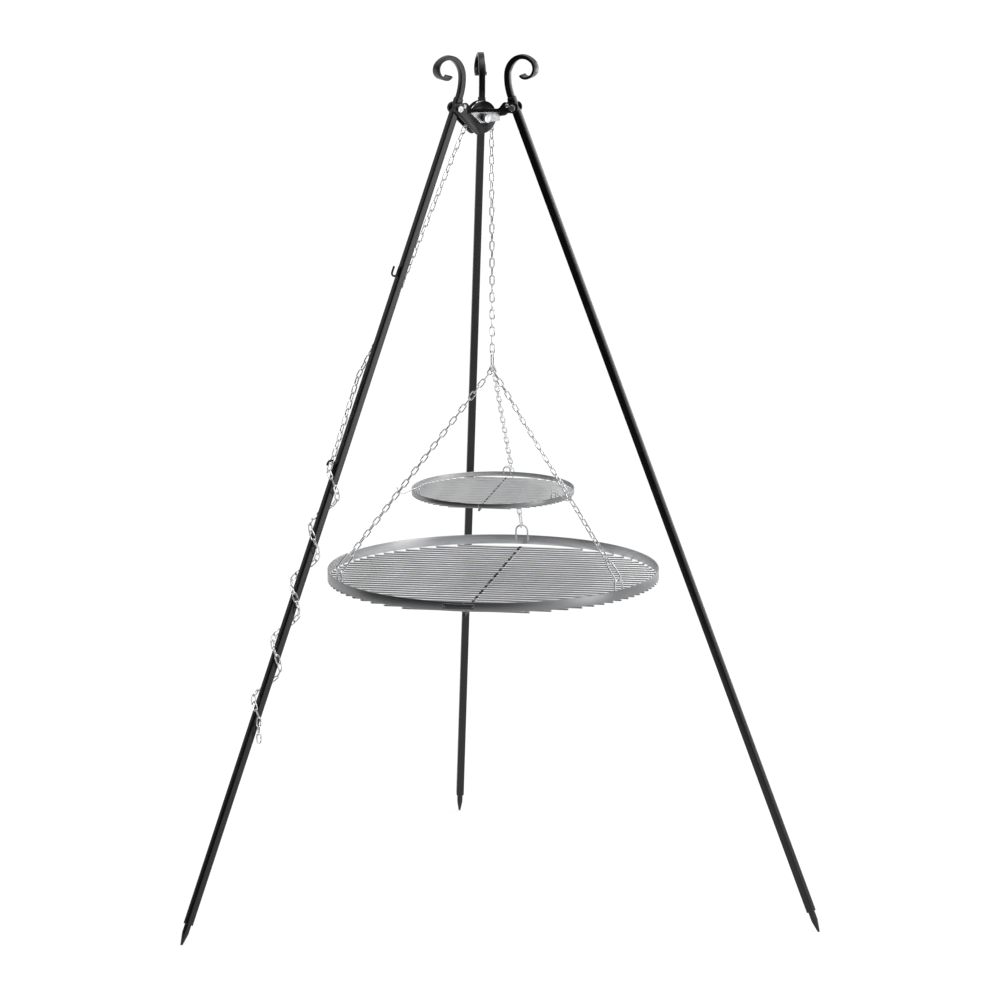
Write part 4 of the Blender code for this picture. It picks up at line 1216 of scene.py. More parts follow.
@dataclass
class Chain:
    """Welded chain of round wire, laid link by link along routes."""

    wire: float = 2.8 * MM
    half_width: float = 4.4 * MM
    hoist_pitch: float = 17.8 * MM
    drop_pitch: float = 16.5 * MM
    sides: int = 8
    model_extra: float = 0.4 * 2.8 * MM
    model_corner: float = 0.6 * 2.8 * MM
    model_shoulder: float = 3.2 * MM
    gap: float = 0.3 * MM

    @property
    def seat(self) -> float:
        """How much longer a link's bevelled crown makes its seat on a wire."""
        return math.hypot(self.half_width, self.model_shoulder) / self.half_width

    @property
    def loose(self) -> float:
        """Extra distance between two stretches of chain that move on their own."""
        return (2 * self.model_corner + self.gap) * self.seat - 2 * self.model_extra

    def link(self, pitch: float) -> Solid:
        """One link about the origin, along X and flat in the XY plane.

        Args:
            pitch: The chain's pitch.

        Returns:
            Its shape, with a weld swelling on one side.
        """
        straight = pitch / 2 + self.wire / 2 - self.half_width
        right = arc((straight, 0), self.half_width, -90, 90, 7)
        left = arc((-straight, 0), self.half_width, 90, 270, 7)
        seam = [(x * MM, -self.half_width) for x in (-1.5, -0.6, 0, 0.6, 1.5)]
        radii = [self.wire / 2] * (len(right) + len(left))
        radii += [self.wire / 2 * swell for swell in (1.0, 1.09, 1.16, 1.09, 1.0)]
        solid = Solid()
        solid.sweep([Vector((x, y, 0)) for x, y in [*right, *left, *seam]], radii, self.sides, closed=True)
        return solid

    def lay(
        self, route: Route, first: float, count: int, pitch: float, frame: Matrix, turned: int = 0
    ) -> Solid:
        """Lays links along a route, each a quarter turn from the last.

        Args:
            route: The route, in the frame.
            first: Distance of the first link's middle.
            count: How many links.
            pitch: Distance between two of them.
            frame: The route's frame.
            turned: Whether the first link is turned a quarter.

        Returns:
            All the links in one solid.
        """
        matrices = []
        span = pitch * 0.4
        for i in range(count):
            distance = first + i * pitch
            centre, side = route.at(distance)
            direction = (route.at(distance + span)[0] - route.at(max(0.0, distance - span))[0]).normalized()
            side = (side - direction * side.dot(direction)).normalized()
            if (i + turned) % 2:
                side = direction.cross(side)
            turn = Matrix((direction, side, direction.cross(side))).transposed().to_4x4()
            matrices.append(frame @ Matrix.Translation(centre) @ turn)
        solid = Solid()
        solid.copies(self.link(pitch), matrices)
        return solid


@dataclass(frozen=True)
class RodHook:
    """A rod hook welded on the left leg: a bent rod whose free side ends in a tip."""

    node: str
    distance: float
    way: int
    width: float
    tip: float
    wire: float = 4.5 * MM
    weld: float = 17 * MM
    tube: float = 16 * MM
    gap: float = 0.3 * MM

    @property
    def out(self) -> float:
        """Distance from the leg's middle to the middle of the hook."""
        return self.tube / 2 + self.gap + self.wire / 2 + self.width / 2

    def build(self, shop: Workshop, frame: Matrix) -> None:
        """Makes the hook with its two welds.

        Args:
            shop: Where it is made.
            frame: The leg's frame.
        """
        centre = -self.distance + self.way * self.width / 2
        bend = arc((0, 0), self.width / 2, 180, 360, 14)
        near = self.out - self.width / 2
        path = [Vector((near, 0, centre + self.way * self.weld))]
        path += [Vector((self.out + x, 0, centre + self.way * z)) for x, z in bend]
        path.append(Vector((self.out + self.width / 2, 0, centre + self.way * self.tip)))
        solid = Solid()
        solid.rod([frame @ p for p in path], self.wire / 2, 14)
        for y in (-1, 1):
            edge = Vector((near - self.wire * 0.4, y * self.wire * 0.42, centre))
            ends = [edge + Vector((0, 0, self.way * z)) for z in (2 * MM, self.weld - MM)]
            solid.weld([frame @ p for p in ends], 1.1 * MM)
        shop.piece(f"{self.node}_rod", solid, PAINT, "left_leg", [self.node], smooth=60)


UPPER_HOOK = RodHook("leg_hook_upper", 375 * MM, 1, 13 * MM, 14 * MM)
LOWER_HOOK = RodHook("leg_hook_lower", 782 * MM, -1, 17.4 * MM, 5 * MM)


@dataclass
class Hoist:
    """The lifting chain: from the grates up, over the wheel, down the left leg and round it."""

    layout: Layout
    chain: Chain
    beside_leg: float = 14.4 * MM
    out_of_leg: float = 13 * MM
    crosses: tuple[float, float] = (474 * MM, 596 * MM)
    caught_rise: float = 0.9 * MM
    tail_straight: float = 24 * MM
    coil_radius: float = 17.6 * MM
    coil_rise: float = 127 * MM
    turns: float = 4.2
    tail_drop: float = 66 * MM
    bend_run: float = 250 * MM

    @property
    def caught(self) -> Vector:
        """Where the chain's link hangs on the lower hook, in the leg's frame."""
        hook = LOWER_HOOK
        return Vector((hook.out, 0, self.caught_rise - hook.distance))

    def routes(self) -> tuple[Route, Route]:
        """Routes over the wheel and down to the hook, in the left side's upright frame.

        Returns:
            The route over the wheel and the route down the leg.
        """
        layout = self.layout
        centre = Vector((layout.wheel_offset, 0, layout.wheel_height))
        to_upright = layout.upright(Side.LEFT.value).inverted() @ layout.leg(Side.LEFT)
        high, low = self.crosses
        pitch = self.chain.hoist_pitch
        stations = [
            Vector((-self.out_of_leg, -self.beside_leg, -high)),
            Vector((self.out_of_leg, -self.beside_leg, -low)),
            self.caught + Vector((0, 0, 1.5 * pitch)),
            self.caught,
        ]
        stations = [to_upright @ station for station in stations]
        dx, dz = stations[0].x - centre.x, stations[0].z - centre.z
        radius = layout.wheel_chain_radius
        leave = math.degrees(math.atan2(dz, dx) + math.acos(radius / math.hypot(dx, dz)))
        across = Vector((0, 1, 0))
        around = [Vector((x, 0, z)) for x, z in arc((centre.x, centre.z), radius, 180, leave, 24)]
        start = around[0] - Vector((0, 0, pitch))
        end = around[-1] + (stations[0] - around[-1]).normalized() * pitch
        over = Route(tuple((point, across) for point in (start, *around, end)))
        return over, Route(tuple((point, across) for point in (end, *stations)))

    def tail_route(self) -> Route:
        """The spare chain in the leg's frame: wound down the leg, then hanging free.

        Returns:
            Its route.
        """
        start = self.caught
        steps = round(self.turns * 24)
        stations = [(start, Vector((1, 0, 0)))]
        for i in range(steps + 1):
            turns = self.turns * i / steps
            side = radial(math.degrees(math.tau * turns))
            radius = self.coil_radius + (start.x - self.coil_radius) * max(0.0, 1 - turns)
            height = start.z - self.tail_straight - self.coil_rise * turns
            stations.append((side * radius + Vector((0, 0, height)), side))
        end, side = stations[-1]
        down = self.layout.leg(Side.LEFT).to_3x3().inverted() @ Vector((0, 0, -1))
        stations.append((end + down * self.tail_drop, side))
        return Route(tuple(stations))

    def build(self, shop: Workshop) -> None:
        """Makes the chain's stretches.

        Args:
            shop: Where they are made.
        """
        chain, pitch = self.chain, self.chain.hoist_pitch
        upright, leg = self.layout.upright(Side.LEFT.value), self.layout.leg(Side.LEFT)
        over, run = self.routes()
        over_count = math.floor(over.length / pitch)
        links = chain.lay(over, pitch / 2, over_count, pitch, upright)
        shop.piece("links_over_wheel", links, CHAIN_ZINC, "head", ["chain_over_wheel"])
        first = pitch * (over_count + 0.5) - chain.loose - over.length
        odd = over_count % 2
        intervals = 2 * round(((run.length - first) / pitch - odd) / 2) + odd
        run_pitch = (run.length - first) / intervals
        leg_run = run.moved(leg.inverted() @ upright)
        links = chain.lay(leg_run, first, intervals + 1, run_pitch, leg, over_count)
        run_piece = shop.make("links_down_leg", links, CHAIN_ZINC)
        top = upright @ run.stations[0][0]
        end = top + (upright @ run.stations[1][0] - top).normalized() * self.bend_run
        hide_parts("chain_down_leg")
        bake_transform(run_piece)
        tail = self.tail_route()
        tail_first = (run_pitch + pitch) / 2 - chain.loose
        count = math.floor((tail.length - tail_first) / pitch)
        links = chain.lay(tail, tail_first, count, pitch, leg)
        shop.piece("links_round_leg", links, CHAIN_ZINC, "left_leg", ["chain_tail"])


@dataclass
class GrateSizes:
    """Sizes of one round grate."""

    name: str
    radius: float
    top: float
    height: float
    wall: float
    pitch: float
    rod: float
    rod_sides: int
    strut: tuple[float, float]
    bail_wire: float
    bail_width: float
    bail_rise: float
    bail_foot: float
    model_segments: int = 48
    gap: float = 0.3 * MM

    @property
    def bail_radius(self) -> float:
        """Distance from the grate's centre to the middle of a bail's wire."""
        edge = self.radius * math.cos(math.pi / self.model_segments) - self.wall
        return edge - self.gap - self.bail_wire / 2 - (self.bail_width / 2) ** 2 / (2 * self.radius)


BIG = GrateSizes(
    "big", 350 * MM, 708.5 * MM, 20 * MM, 3 * MM, 21.5 * MM, 4.6 * MM, 12, (5 * MM, 8 * MM),
    4 * MM, 25 * MM, 22 * MM, 12 * MM,
)
SMALL = GrateSizes(
    "small", 171.5 * MM, 882.3 * MM, 10 * MM, 2 * MM, 10.5 * MM, 2.6 * MM, 10, (3 * MM, 5 * MM),
    3 * MM, 15 * MM, 11 * MM, 6 * MM,
)
DROP_AZIMUTHS = {Side.LEFT: 195.5, Side.RIGHT: -44.5, Side.BACK: 75.5}


@dataclass
class Grate:
    """A round grate: rim, welded rods on a strut, and wire bails."""

    sizes: GrateSizes
    layout: Layout

    @property
    def frame(self) -> Matrix:
        """Frame at ground level under the grate's centre, with Y along its rods."""
        turn = Matrix.Rotation(math.radians(DROP_AZIMUTHS[Side.BACK]), 4, "Z")
        return Matrix.Translation(self.layout.chain_axis) @ turn

    def build(self, shop: Workshop) -> None:
        """Makes the grate's pieces.

        Args:
            shop: Where they are made.
        """
        s = self.sizes
        low, ease = s.top - s.height, min(0.9 * MM, s.wall / 2.4)
        box = rounded_box(s.wall, s.height, ease, 3)
        middle = (s.radius - s.wall / 2, (s.top + low) / 2)
        rim = Solid()
        rim.revolve([(middle[0] + p.x, middle[1] + p.y) for p in box], self.frame, 160)
        # The grain's X is measured from the middle of the strip, so that the painted shade falls on the outer
        # face.
        rim.grain = [Vector((g.x - middle[0], g.y, g.z)) for g in rim.grain]
        self.rim_seam(rim, low)
        shop.piece(f"{s.name}_rim", rim, RIM_STEEL, "grates", [f"{s.name}_grate_rim"], smooth=50)
        shop.piece(f"{s.name}_rods", self.rods(low), ROD_STEEL, "grates", [f"{s.name}_grate_rods"], smooth=50)
        # The strut is painted near black as the shade under the rods.
        shop.piece(f"{s.name}_strut", self.strut(low), SHADED_STRUT_STEEL, "grates", smooth=50)
        for side, azimuth in DROP_AZIMUTHS.items():
            turn = Matrix.Rotation(math.radians(azimuth - DROP_AZIMUTHS[Side.BACK]), 4, "Z")
            name = f"{s.name}_bail_{side.word}"
            shop.piece(f"{name}_wire", self.bail(self.frame @ turn), WIRE_STEEL, "grates", [name], smooth=60)

    def rim_seam(self, rim: Solid, low: float) -> None:
        """Adds the ground weld where the rim's strip was closed.

        Args:
            rim: The rim.
            low: Height of its lower edge.
        """
        s = self.sizes
        for reach in (s.radius - 0.35 * MM, s.radius - s.wall + 0.35 * MM):
            seam = [self.frame @ Vector((-reach, 0, z)) for z in (low + 0.8 * MM, s.top - 0.8 * MM)]
            rim.weld(seam, 0.9 * MM, pitch=1.8 * MM)

    def rods(self, low: float) -> Solid:
        """The rods with their spot welds.

        Args:
            low: Height of the rim's lower edge.

        Returns:
            Their shape.
        """
        s = self.sizes
        level = low - s.gap - s.rod / 2
        solid = Solid()
        spot = Solid()
        shares = ((0.25, -0.2), (0.46, 0.0), (0.3, 0.25))
        spot.dome([(s.rod * r, s.rod * z) for r, z in shares], Matrix(), 8)
        spots = []
        for i, place in enumerate(self.rod_places()):
            half = math.sqrt(s.radius**2 - place**2)
            bow = 0.0004 * math.sin(i * 2.4)
            line = [Vector((place + bow * (1 - t * t), half * t, level)) for t in (-1, -0.5, 0, 0.5, 1)]
            solid.rod([self.frame @ p for p in line], s.rod / 2, s.rod_sides)
            for end in (-1, 1):
                spots.append(Vector((place, end * (half - s.wall / 2), level + s.rod * 0.34)))
                spots.append(Vector((place + s.rod * 0.4 * end, s.strut[0] / 2 * end, level - s.rod * 0.42)))
        solid.copies(spot, [self.frame @ Matrix.Translation(p) for p in spots])
        return solid

    def rod_places(self) -> list[float]:
        """Where the rods lie across the grate."""
        s = self.sizes
        on_each_side = math.floor((s.radius - s.pitch) / s.pitch)
        return [i * s.pitch for i in range(-on_each_side, on_each_side + 1)]

    def strut(self, low: float) -> Solid:
        """The flat bar on edge under the rods, with the welds that hold the rods on it, both near black as
        painted shade.

        Args:
            low: Height of the rim's lower edge.

        Returns:
            Its shape.
        """
        s = self.sizes
        width, height = s.strut
        strut_level = low - s.gap - s.rod * 0.8 - height / 2
        solid = Solid()
        length = 2 * (s.radius - 2 * s.wall)
        box = rounded_box(width, height, 0.8 * MM, 2)
        stations = [-length / 2, -length / 2 + 0.8 * MM, length / 2 - 0.8 * MM, length / 2]
        scales = [0.9, 1.0, 1.0, 0.9]
        local = [[Vector((x, p.x * k, strut_level + p.y * k)) for p in box] for x, k in zip(stations, scales)]
        rings = [[self.frame @ p for p in ring] for ring in local]
        solid.skin(rings, [[p.zyx for p in ring] for ring in local])
        reach, level = width / 2 + s.rod * 0.1, low - s.gap - s.rod / 2
        radii = [s.rod * share for share in (0.5, 0.525, 0.53, 0.525, 0.5)]
        for place in self.rod_places():
            collar = [self.frame @ Vector((place, reach * t, level)) for t in (-1, -0.7, 0, 0.7, 1)]
            solid.sweep(collar, radii, s.rod_sides)
        return solid

    def bail(self, frame: Matrix) -> Solid:
        """A wire bail, with the welds at its feet.

        Args:
            frame: Frame under the grate's centre whose X points at the bail.

        Returns:
            Its shape.
        """
        s = self.sizes
        half, foot = s.bail_width / 2, s.top - s.bail_foot
        bow = arc((0, s.top + s.bail_rise - half), half, 0, 180, 16)
        path = [Vector((s.bail_radius, half, foot))]
        path += [Vector((s.bail_radius, y, z)) for y, z in bow]
        path.append(Vector((s.bail_radius, -half, foot)))
        solid = Solid()
        solid.rod([frame @ p for p in path], s.bail_wire / 2, 12)
        for y in (half, -half):
            for edge in (-1, 1):
                out = s.bail_radius + s.bail_wire * 0.42
                beside = y + edge * s.bail_wire * 0.42
                seam = [Vector((out, beside, z)) for z in (foot + 0.6 * MM, s.top - 2.5 * MM)]
                solid.weld([frame @ p for p in seam], s.bail_wire * 0.2, pitch=1.6 * MM)
        return solid


@dataclass
class RimPlate:
    """The bare plate on the front of the big grate's rim."""

    layout: Layout
    azimuth: float = 253.7
    length: float = 69 * MM
    height: float = 14.4 * MM
    thickness: float = 0.8 * MM
    border: float = 1.1 * MM
    border_wire: float = 0.55 * MM
    rivet: Profile = ((1.5 * MM, -0.3 * MM), (1.4 * MM, 0.3 * MM), (0.8 * MM, 0.7 * MM))
    rivet_inset: float = 3.2 * MM

    def spot(self, angle: float, reach: float, level: float) -> Vector:
        """A place by its angle from the plate's middle, its distance from the rim's axis and its height."""
        out = radial(self.azimuth + math.degrees(angle))
        return self.layout.chain_axis + out * reach + Vector((0, 0, level))

    def build(self, shop: Workshop) -> None:
        """Makes the plate with its pressed border and two rivets.

        Args:
            shop: Where it is made.
        """
        radius = BIG.radius + self.thickness / 2
        middle = BIG.top - BIG.height / 2
        steps = 24
        half = self.length / 2 / radius
        rings, grains = [], []
        for i in range(steps + 1):
            angle = -half + 2 * half * i / steps
            outline = rounded_box(self.thickness, self.height, 0.3 * MM, 2)
            rings.append([self.spot(angle, radius + p.x, middle + p.y) for p in outline])
            grains.append([Vector((p.x, p.y, radius * angle)) for p in outline])
        plate = Solid()
        plate.skin(rings, grains)
        edge = []
        tall, wide = self.height / 2 - self.border, half - self.border / radius
        corners = ((-wide, -tall), (wide, -tall), (wide, tall), (-wide, tall))
        for (a, z), (b, y) in zip(corners, (*corners[1:], corners[0])):
            for i in range(12):
                angle, level = a + (b - a) * i / 12, z + (y - z) * i / 12
                edge.append(self.spot(angle, BIG.radius + self.thickness, middle + level))
        border = Solid()
        border.sweep(edge, self.border_wire, 6, closed=True)
        for end in (-1, 1):
            angle = end * (wide - self.rivet_inset / radius)
            place = self.spot(angle, BIG.radius + self.thickness, middle)
            out = radial(self.azimuth + math.degrees(angle))
            border.dome(self.rivet, axis_frame(place, out), 16)
        shop.piece("rim_plate", plate, PLATE_STEEL, "grates")
        shop.piece("rim_plate_border", border, BORDER_STEEL, "grates")


@dataclass
class Hanger:
    """The ring, the hoist chain above it, and the three chains that carry the grates."""

    layout: Layout
    chain: Chain
    ring_wire: float = 3.6 * MM
    ring_half_width: float = 12 * MM
    ring_length: float = 38 * MM
    ring_bottom: float = 1137 * MM
    seats: dict[Side, float] = field(default_factory=lambda: {Side.RIGHT: -42, Side.LEFT: 0, Side.BACK: 42})
    end_length: float = 46 * MM
    end_half_width: float = 8 * MM
    end_wire: float = 3.6 * MM
    hook_wire: float = 2.4 * MM
    hook_above_bail: float = 12 * MM

    def oval(self, half_width: float, length: float, place: Matrix) -> list[Vector]:
        """A stadium in a frame's XZ plane, its lower end at zero.

        Args:
            half_width: Half its width.
            length: Its height.
            place: The frame.

        Returns:
            Its points.
        """
        low = arc((0, half_width), half_width, 180, 360, 12)
        high = arc((0, length - half_width), half_width, 0, 180, 12)
        return [place @ Vector((x, 0, z)) for x, z in low + high]

    def build(self, shop: Workshop) -> None:
        """Makes the hoist chain, the ring, the drop chains and the small grate's hooks.

        Args:
            shop: Where they are made.
        """
        axis = Matrix.Translation(self.layout.chain_axis)
        azimuth = DROP_AZIMUTHS[Side.BACK]
        turn = Matrix.Rotation(math.radians(azimuth), 4, "Z")
        ring = Solid()
        ring_frame = axis @ Matrix.Translation((0, 0, self.ring_bottom)) @ turn
        oval = self.oval(self.ring_half_width, self.ring_length, ring_frame)
        ring.sweep(oval, self.ring_wire / 2, 14, closed=True)
        shop.piece("ring", ring, CHAIN_ZINC, "grates", ["hanger_ring"])
        self.hoist_chain(shop, axis, azimuth)
        for side in Side:
            self.drop_chain(shop, side, axis)

    def hoist_chain(self, shop: Workshop, axis: Matrix, azimuth: float) -> None:
        """Makes the chain between the wheel and the ring.

        Args:
            shop: Where it is made.
            axis: Frame of the chain's line at ground level.
            azimuth: The ring's azimuth.
        """
        chain, pitch = self.chain, self.chain.hoist_pitch
        seat = (self.ring_wire / 2 + chain.model_corner + chain.gap) * chain.seat
        top = Vector((0, 0, self.layout.wheel_height - pitch))
        low = Vector((0, 0, self.ring_bottom + self.ring_length - seat + chain.model_extra))
        wheel_side = radial(Side.LEFT.value)
        first = pitch / 2 - chain.loose
        route = Route(((top, wheel_side), (low, wheel_side)))
        link = chain.lay(route, first, 1, pitch, axis)
        shop.piece("top_link", link, CHAIN_ZINC, "hanger", ["hoist_top_link"])
        start = top - Vector((0, 0, first + pitch / 2 - chain.loose))
        length = (start - low).length
        count = 2 * round(length / pitch / 2)
        pitch = length / count
        route = Route(((start, wheel_side), (low, radial(azimuth + 90))))
        links = chain.lay(route, pitch / 2, count, pitch, axis, 1)
        piece = shop.make("links_to_ring", links, CHAIN_ZINC)
        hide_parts("hoist_chain")
        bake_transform(piece)

    def drop_chain(self, shop: Workshop, side: Side, axis: Matrix) -> None:
        """Makes one drop chain, its end link and the small grate's hook on it.

        Args:
            shop: Where they are made.
            side: The chain's side.
            axis: Frame of the hoist chain's line at ground level.
        """
        chain = self.chain
        ring_out = radial(DROP_AZIMUTHS[Side.BACK])
        out = radial(DROP_AZIMUTHS[side])
        seat = math.radians(self.seats[side])
        outward = ring_out * math.sin(seat) - Vector((0, 0, math.cos(seat)))
        held = Vector((0, 0, self.ring_bottom + self.ring_half_width)) + outward * self.ring_half_width
        bow = out * BIG.bail_radius + Vector((0, 0, BIG.top + BIG.bail_rise))
        direction = (bow - held).normalized()
        begin = held - direction * (self.ring_wire / 2 + chain.model_corner + chain.gap) * chain.seat
        ring_line = ring_out * math.cos(seat) + Vector((0, 0, math.sin(seat)))
        first_side = direction.cross(ring_line).normalized()
        low = bow + direction * (BIG.bail_wire / 2 + chain.gap + self.end_wire / 2)
        tangent = radial(DROP_AZIMUTHS[side] + 90)
        upper = low - direction * self.end_length
        turn = Matrix((direction.cross(tangent), tangent, -direction)).transposed().to_4x4()
        oval = self.oval(self.end_half_width, self.end_length, axis @ Matrix.Translation(low) @ turn)
        end_link = Solid()
        end_link.sweep(oval, self.end_wire / 2, 12, closed=True)
        shop.piece(f"long_link_{side.word}", end_link, CHAIN_ZINC, "grates", [f"end_link_{side.word}"])
        finish = upper + direction * (self.end_wire / 2 + chain.model_corner + chain.gap) * chain.seat
        extra = 2 * chain.model_extra
        inner = (finish - begin).length - extra
        last_side = max((tangent, direction.cross(tangent)), key=lambda v: abs(v.dot(first_side)))
        odd = 1 if last_side == tangent else 0
        count = 2 * round((inner / chain.drop_pitch - odd) / 2) + odd
        pitch = inner / count
        last_side = last_side * math.copysign(1, last_side.dot(first_side))
        route = Route(((begin, first_side), (finish, last_side)))
        links = chain.lay(route, extra / 2 + pitch / 2, count, pitch, axis)
        shop.piece(f"drop_links_{side.word}", links, CHAIN_ZINC, "grates", [f"drop_chain_{side.word}"])
        hook = self.small_hook(begin, direction, pitch, count, out)
        solid = Solid()
        solid.rod([axis @ p for p in hook], self.hook_wire / 2, 10)
        shop.piece(f"wire_hook_{side.word}", solid, CHAIN_ZINC, "grates", [f"small_hook_{side.word}"])

    def small_hook(
        self, begin: Vector, direction: Vector, pitch: float, count: int, out: Vector
    ) -> list[Vector]:
        """Centre line of the hook that hangs the small grate from a link.

        Args:
            begin: The drop chain's start.
            direction: Its direction.
            pitch: Its pitch.
            count: Its number of links.
            out: The horizontal direction of its side.

        Returns:
            Points of the hook.
        """
        chain = self.chain
        apex = SMALL.top + SMALL.bail_rise - SMALL.bail_wire / 2 - chain.gap - self.hook_wire / 2
        target = SMALL.top + SMALL.bail_rise + self.hook_above_bail
        index = round(((begin.z - target) / -direction.z - chain.model_extra) / pitch - 0.5)
        index += (count - 1 - index) % 2
        seat = pitch / 2 - chain.model_extra - chain.model_corner - self.hook_wire / 2
        link = begin + direction * (chain.model_extra + pitch * (index + 0.5) + seat)
        rise = self.hook_wire * 1.6
        foot = out * SMALL.bail_radius + Vector((0, 0, apex))
        lower = ((-1.1, 1.7), (-0.8, 0.4), (0, 0), (1.3, 0.7))
        upper = ((-2.2, -1.5), (0, 0), (1, 1.1), (1.2, 2.4))
        points = [foot + (out * r + Vector((0, 0, z))) * rise for r, z in lower]
        points += [link + (out * r + Vector((0, 0, z))) * rise for r, z in upper]
        return smooth_path(points)


@dataclass(frozen=True)
class Panel:
    """An upright soft light that faces the grill."""

    name: str
    place: tuple[float, float, float]
    width: float
    height: float
    power: float


PANELS = (
    Panel("panel_front", (3.1, -1.9, 0.9), 1.4, 2.6, 30),
    Panel("panel_back", (2.6, 2.2, 1.5), 1.2, 2.2, 26),
)


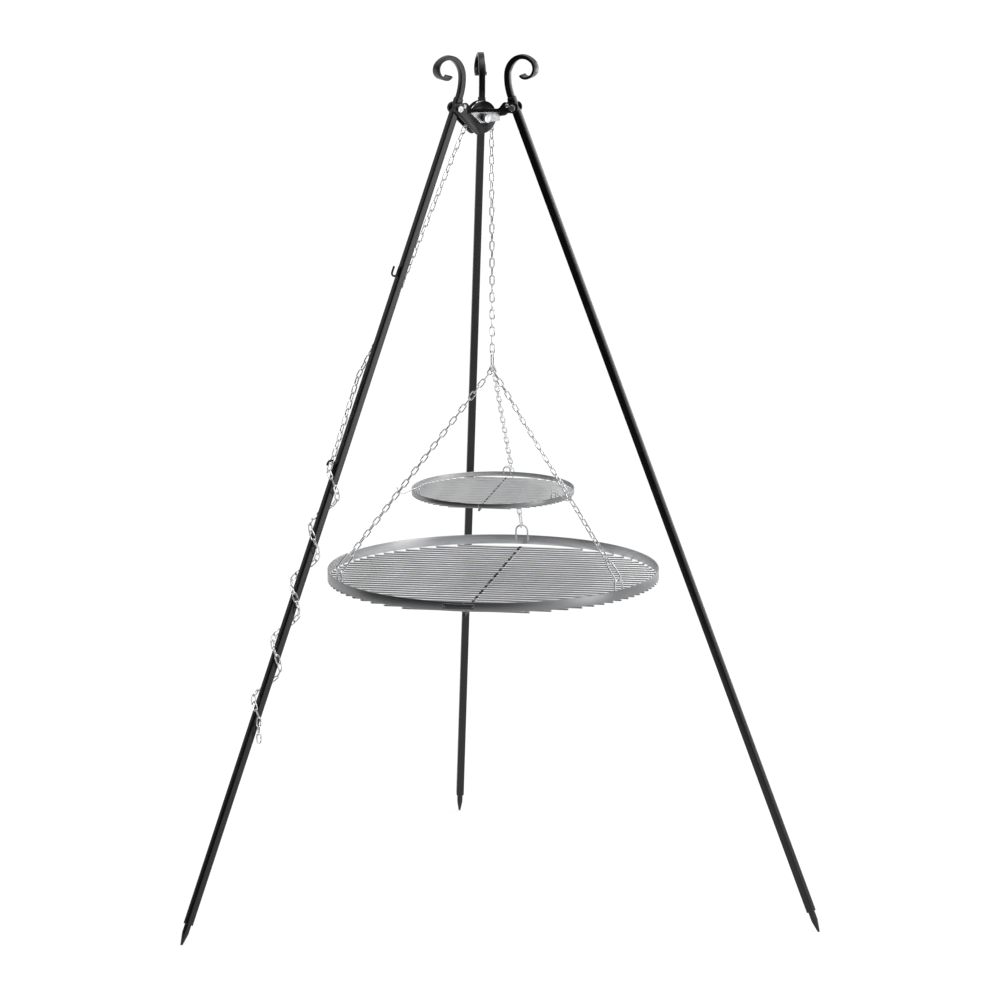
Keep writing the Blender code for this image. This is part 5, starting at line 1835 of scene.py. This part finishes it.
@dataclass
class Studio:
    """Camera, floor, dark screen and light."""

    layout: Layout
    distance: float = 27.73
    height: float = 6.5805
    azimuth: float = 0.0731
    yaw: float = 0.0011
    pitch: float = -0.20353
    roll: float = -0.00352
    focal_pixels: float = 13429.9
    frame_pixels: float = 1000
    sensor: float = 36
    floor_size: float = 160
    floor_shown: float = 0.93
    floor_bounce: float = 0.55
    floor_shadow: float = 0.3
    sky: tuple[float, float] = (0.3, 1.0)
    sky_full: float = 0.5
    sun: float = 0.9
    sun_angle: float = math.radians(38)
    sun_from: tuple[float, float, float] = (0.25, -0.3, 1)
    wall_radius: float = 2.3
    wall_height: float = 3.4
    wall_foot: float = 0.01
    wall_ends: tuple[float, float] = (165, 298)
    wall_greys: tuple[float, float] = (0.012, 0.5)
    wall_fades: float = 0.78

    def build(self) -> None:
        """Makes the camera, the floor and the lights."""
        self.camera()
        self.floor()
        self.dark_wall()
        self.world()
        self.lights()
        bpy.context.scene.view_settings.view_transform = "Standard"

    def camera(self) -> None:
        """Places the camera where the photograph was taken from."""
        data = bpy.data.cameras.new("camera")
        data.sensor_width = self.sensor
        data.lens = self.focal_pixels / self.frame_pixels * self.sensor
        data.clip_end = 200
        obj = bpy.data.objects.new("camera", data)
        bpy.context.scene.collection.objects.link(obj)
        heading = self.azimuth + self.yaw
        level = Vector((math.sin(heading), math.cos(heading), 0))
        forward = level * math.cos(self.pitch) + Vector((0, 0, math.sin(self.pitch)))
        right = forward.cross(Vector((0, 0, 1))).normalized()
        up = right.cross(forward)
        tilted_right = right * math.cos(self.roll) + up * math.sin(self.roll)
        tilted_up = up * math.cos(self.roll) - right * math.sin(self.roll)
        back = Vector((-math.sin(self.azimuth), -math.cos(self.azimuth), 0)) * self.distance
        place = self.layout.axis + back + Vector((0, 0, self.height))
        turn = Matrix((tilted_right, tilted_up, -forward)).transposed().to_4x4()
        obj.matrix_world = Matrix.Translation(place) @ turn
        bpy.context.scene.camera = obj

    def stand(self, mesh: bpy.types.Mesh, graph: Graph) -> bpy.types.Object:
        """Puts a mesh of the studio in the scene.

        Args:
            mesh: The mesh.
            graph: The graph of its material.

        Returns:
            Its object, linked to the scene.
        """
        mesh.materials.append(graph.owner)
        obj = bpy.data.objects.new(mesh.name, mesh)
        bpy.context.scene.collection.objects.link(obj)
        return obj

    def floor(self) -> None:
        """A plain pale floor, white to the eye and to gloss."""
        shape = bmesh.new()
        bmesh.ops.create_grid(shape, x_segments=1, y_segments=1, size=self.floor_size / 2)
        mesh = bpy.data.meshes.new("floor")
        shape.to_mesh(mesh)
        shape.free()
        graph = Graph("floor")
        rays = ("Camera", "Glossy", "Transmission")
        seen = [graph.node("ShaderNodeLightPath", output=f"Is {ray} Ray") for ray in rays]
        white = graph.blend(self.floor_shadow, graph.glow((1, 1, 1)), graph.diffuse(self.floor_shown))
        graph.surface(graph.blend(seen[0] + seen[1] + seen[2], graph.diffuse(self.floor_bounce), white))
        self.stand(mesh, graph)

    def dark_wall(self) -> None:
        """A curved dark screen at the left, which only gloss shows."""
        steps = 40
        start, end = self.wall_ends
        solid = Solid()
        for i in range(steps + 1):
            share = i / steps
            foot = self.layout.axis + radial(start + (end - start) * share) * self.wall_radius
            solid.points += [foot + Vector((0, 0, z)) for z in (self.wall_foot, self.wall_height)]
            solid.grain += [Vector((share, 0, 0)), Vector((share, 0, 1))]
        solid.faces = [(2 * i, 2 * i + 2, 2 * i + 3, 2 * i + 1) for i in range(steps)]
        graph = Graph("dark_wall")
        along = graph.node("ShaderNodeSeparateXYZ", {}, {"Vector": graph.grain()}, "X")
        dark, pale = ((grey,) * 3 for grey in self.wall_greys)
        graph.surface(graph.glow(graph.mix(graph.ramp(along, self.wall_fades, 1.0), dark, pale)))
        obj = self.stand(solid.mesh("dark_wall"), graph)
        obj.visible_camera = False
        obj.visible_diffuse = False
        obj.visible_shadow = False

    def world(self) -> None:
        """A pale surround that gets brighter overhead."""
        graph = Graph("surround", world=True)
        place = graph.node("ShaderNodeTexCoord", output="Generated")
        upward = graph.node("ShaderNodeSeparateXYZ", {}, {"Vector": place}, "Z")
        low, high = self.sky
        limits = {"Value": upward, "From Max": self.sky_full, "To Min": low, "To Max": high}
        strength = graph.node("ShaderNodeMapRange", {}, limits)
        graph.surface(graph.node("ShaderNodeBackground", {}, {"Color": (1, 1, 1, 1), "Strength": strength}))
        bpy.context.scene.world = graph.owner

    def lights(self) -> None:
        """A soft overhead light and two upright panels at the right."""
        sun = bpy.data.lights.new("overhead", "SUN")
        sun.energy = self.sun
        sun.angle = self.sun_angle
        overhead = bpy.data.objects.new("overhead", sun)
        overhead.rotation_euler = Vector(self.sun_from).to_track_quat("Z", "Y").to_euler()
        bpy.context.scene.collection.objects.link(overhead)
        for panel in PANELS:
            place = Vector(panel.place)
            data = bpy.data.lights.new(panel.name, "AREA")
            data.shape = "RECTANGLE"
            data.size = panel.width
            data.size_y = panel.height
            data.energy = panel.power
            obj = bpy.data.objects.new(panel.name, data)
            obj.matrix_world = axis_frame(place, place - Vector((0, self.layout.axis.y, place.z)))
            obj.visible_camera = False
            bpy.context.scene.collection.objects.link(obj)


def main() -> None:
    """Builds every class in order."""
    logging.basicConfig(level=logging.INFO, format="%(message)s", stream=sys.stdout)
    for obj in list(bpy.data.objects):
        bpy.data.objects.remove(obj)
    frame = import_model()
    layout = Layout({joint["name"]: joint for joint in frame["joints"]}, frame["nodes"])
    studio = Studio(layout)
    studio.build()
    shop = Workshop()
    chain = Chain()
    for side in Side:
        Leg(side, layout).build(shop)
    Head(layout).build(shop)
    ChainWheel(layout).build(shop)
    for hook in (UPPER_HOOK, LOWER_HOOK):
        hook.build(shop, layout.leg(Side.LEFT))
    Hoist(layout, chain).build(shop)
    Hanger(layout, chain).build(shop)
    for sizes in (BIG, SMALL):
        Grate(sizes, layout).build(shop)
    RimPlate(layout).build(shop)


if __name__ == "__main__":
    main()
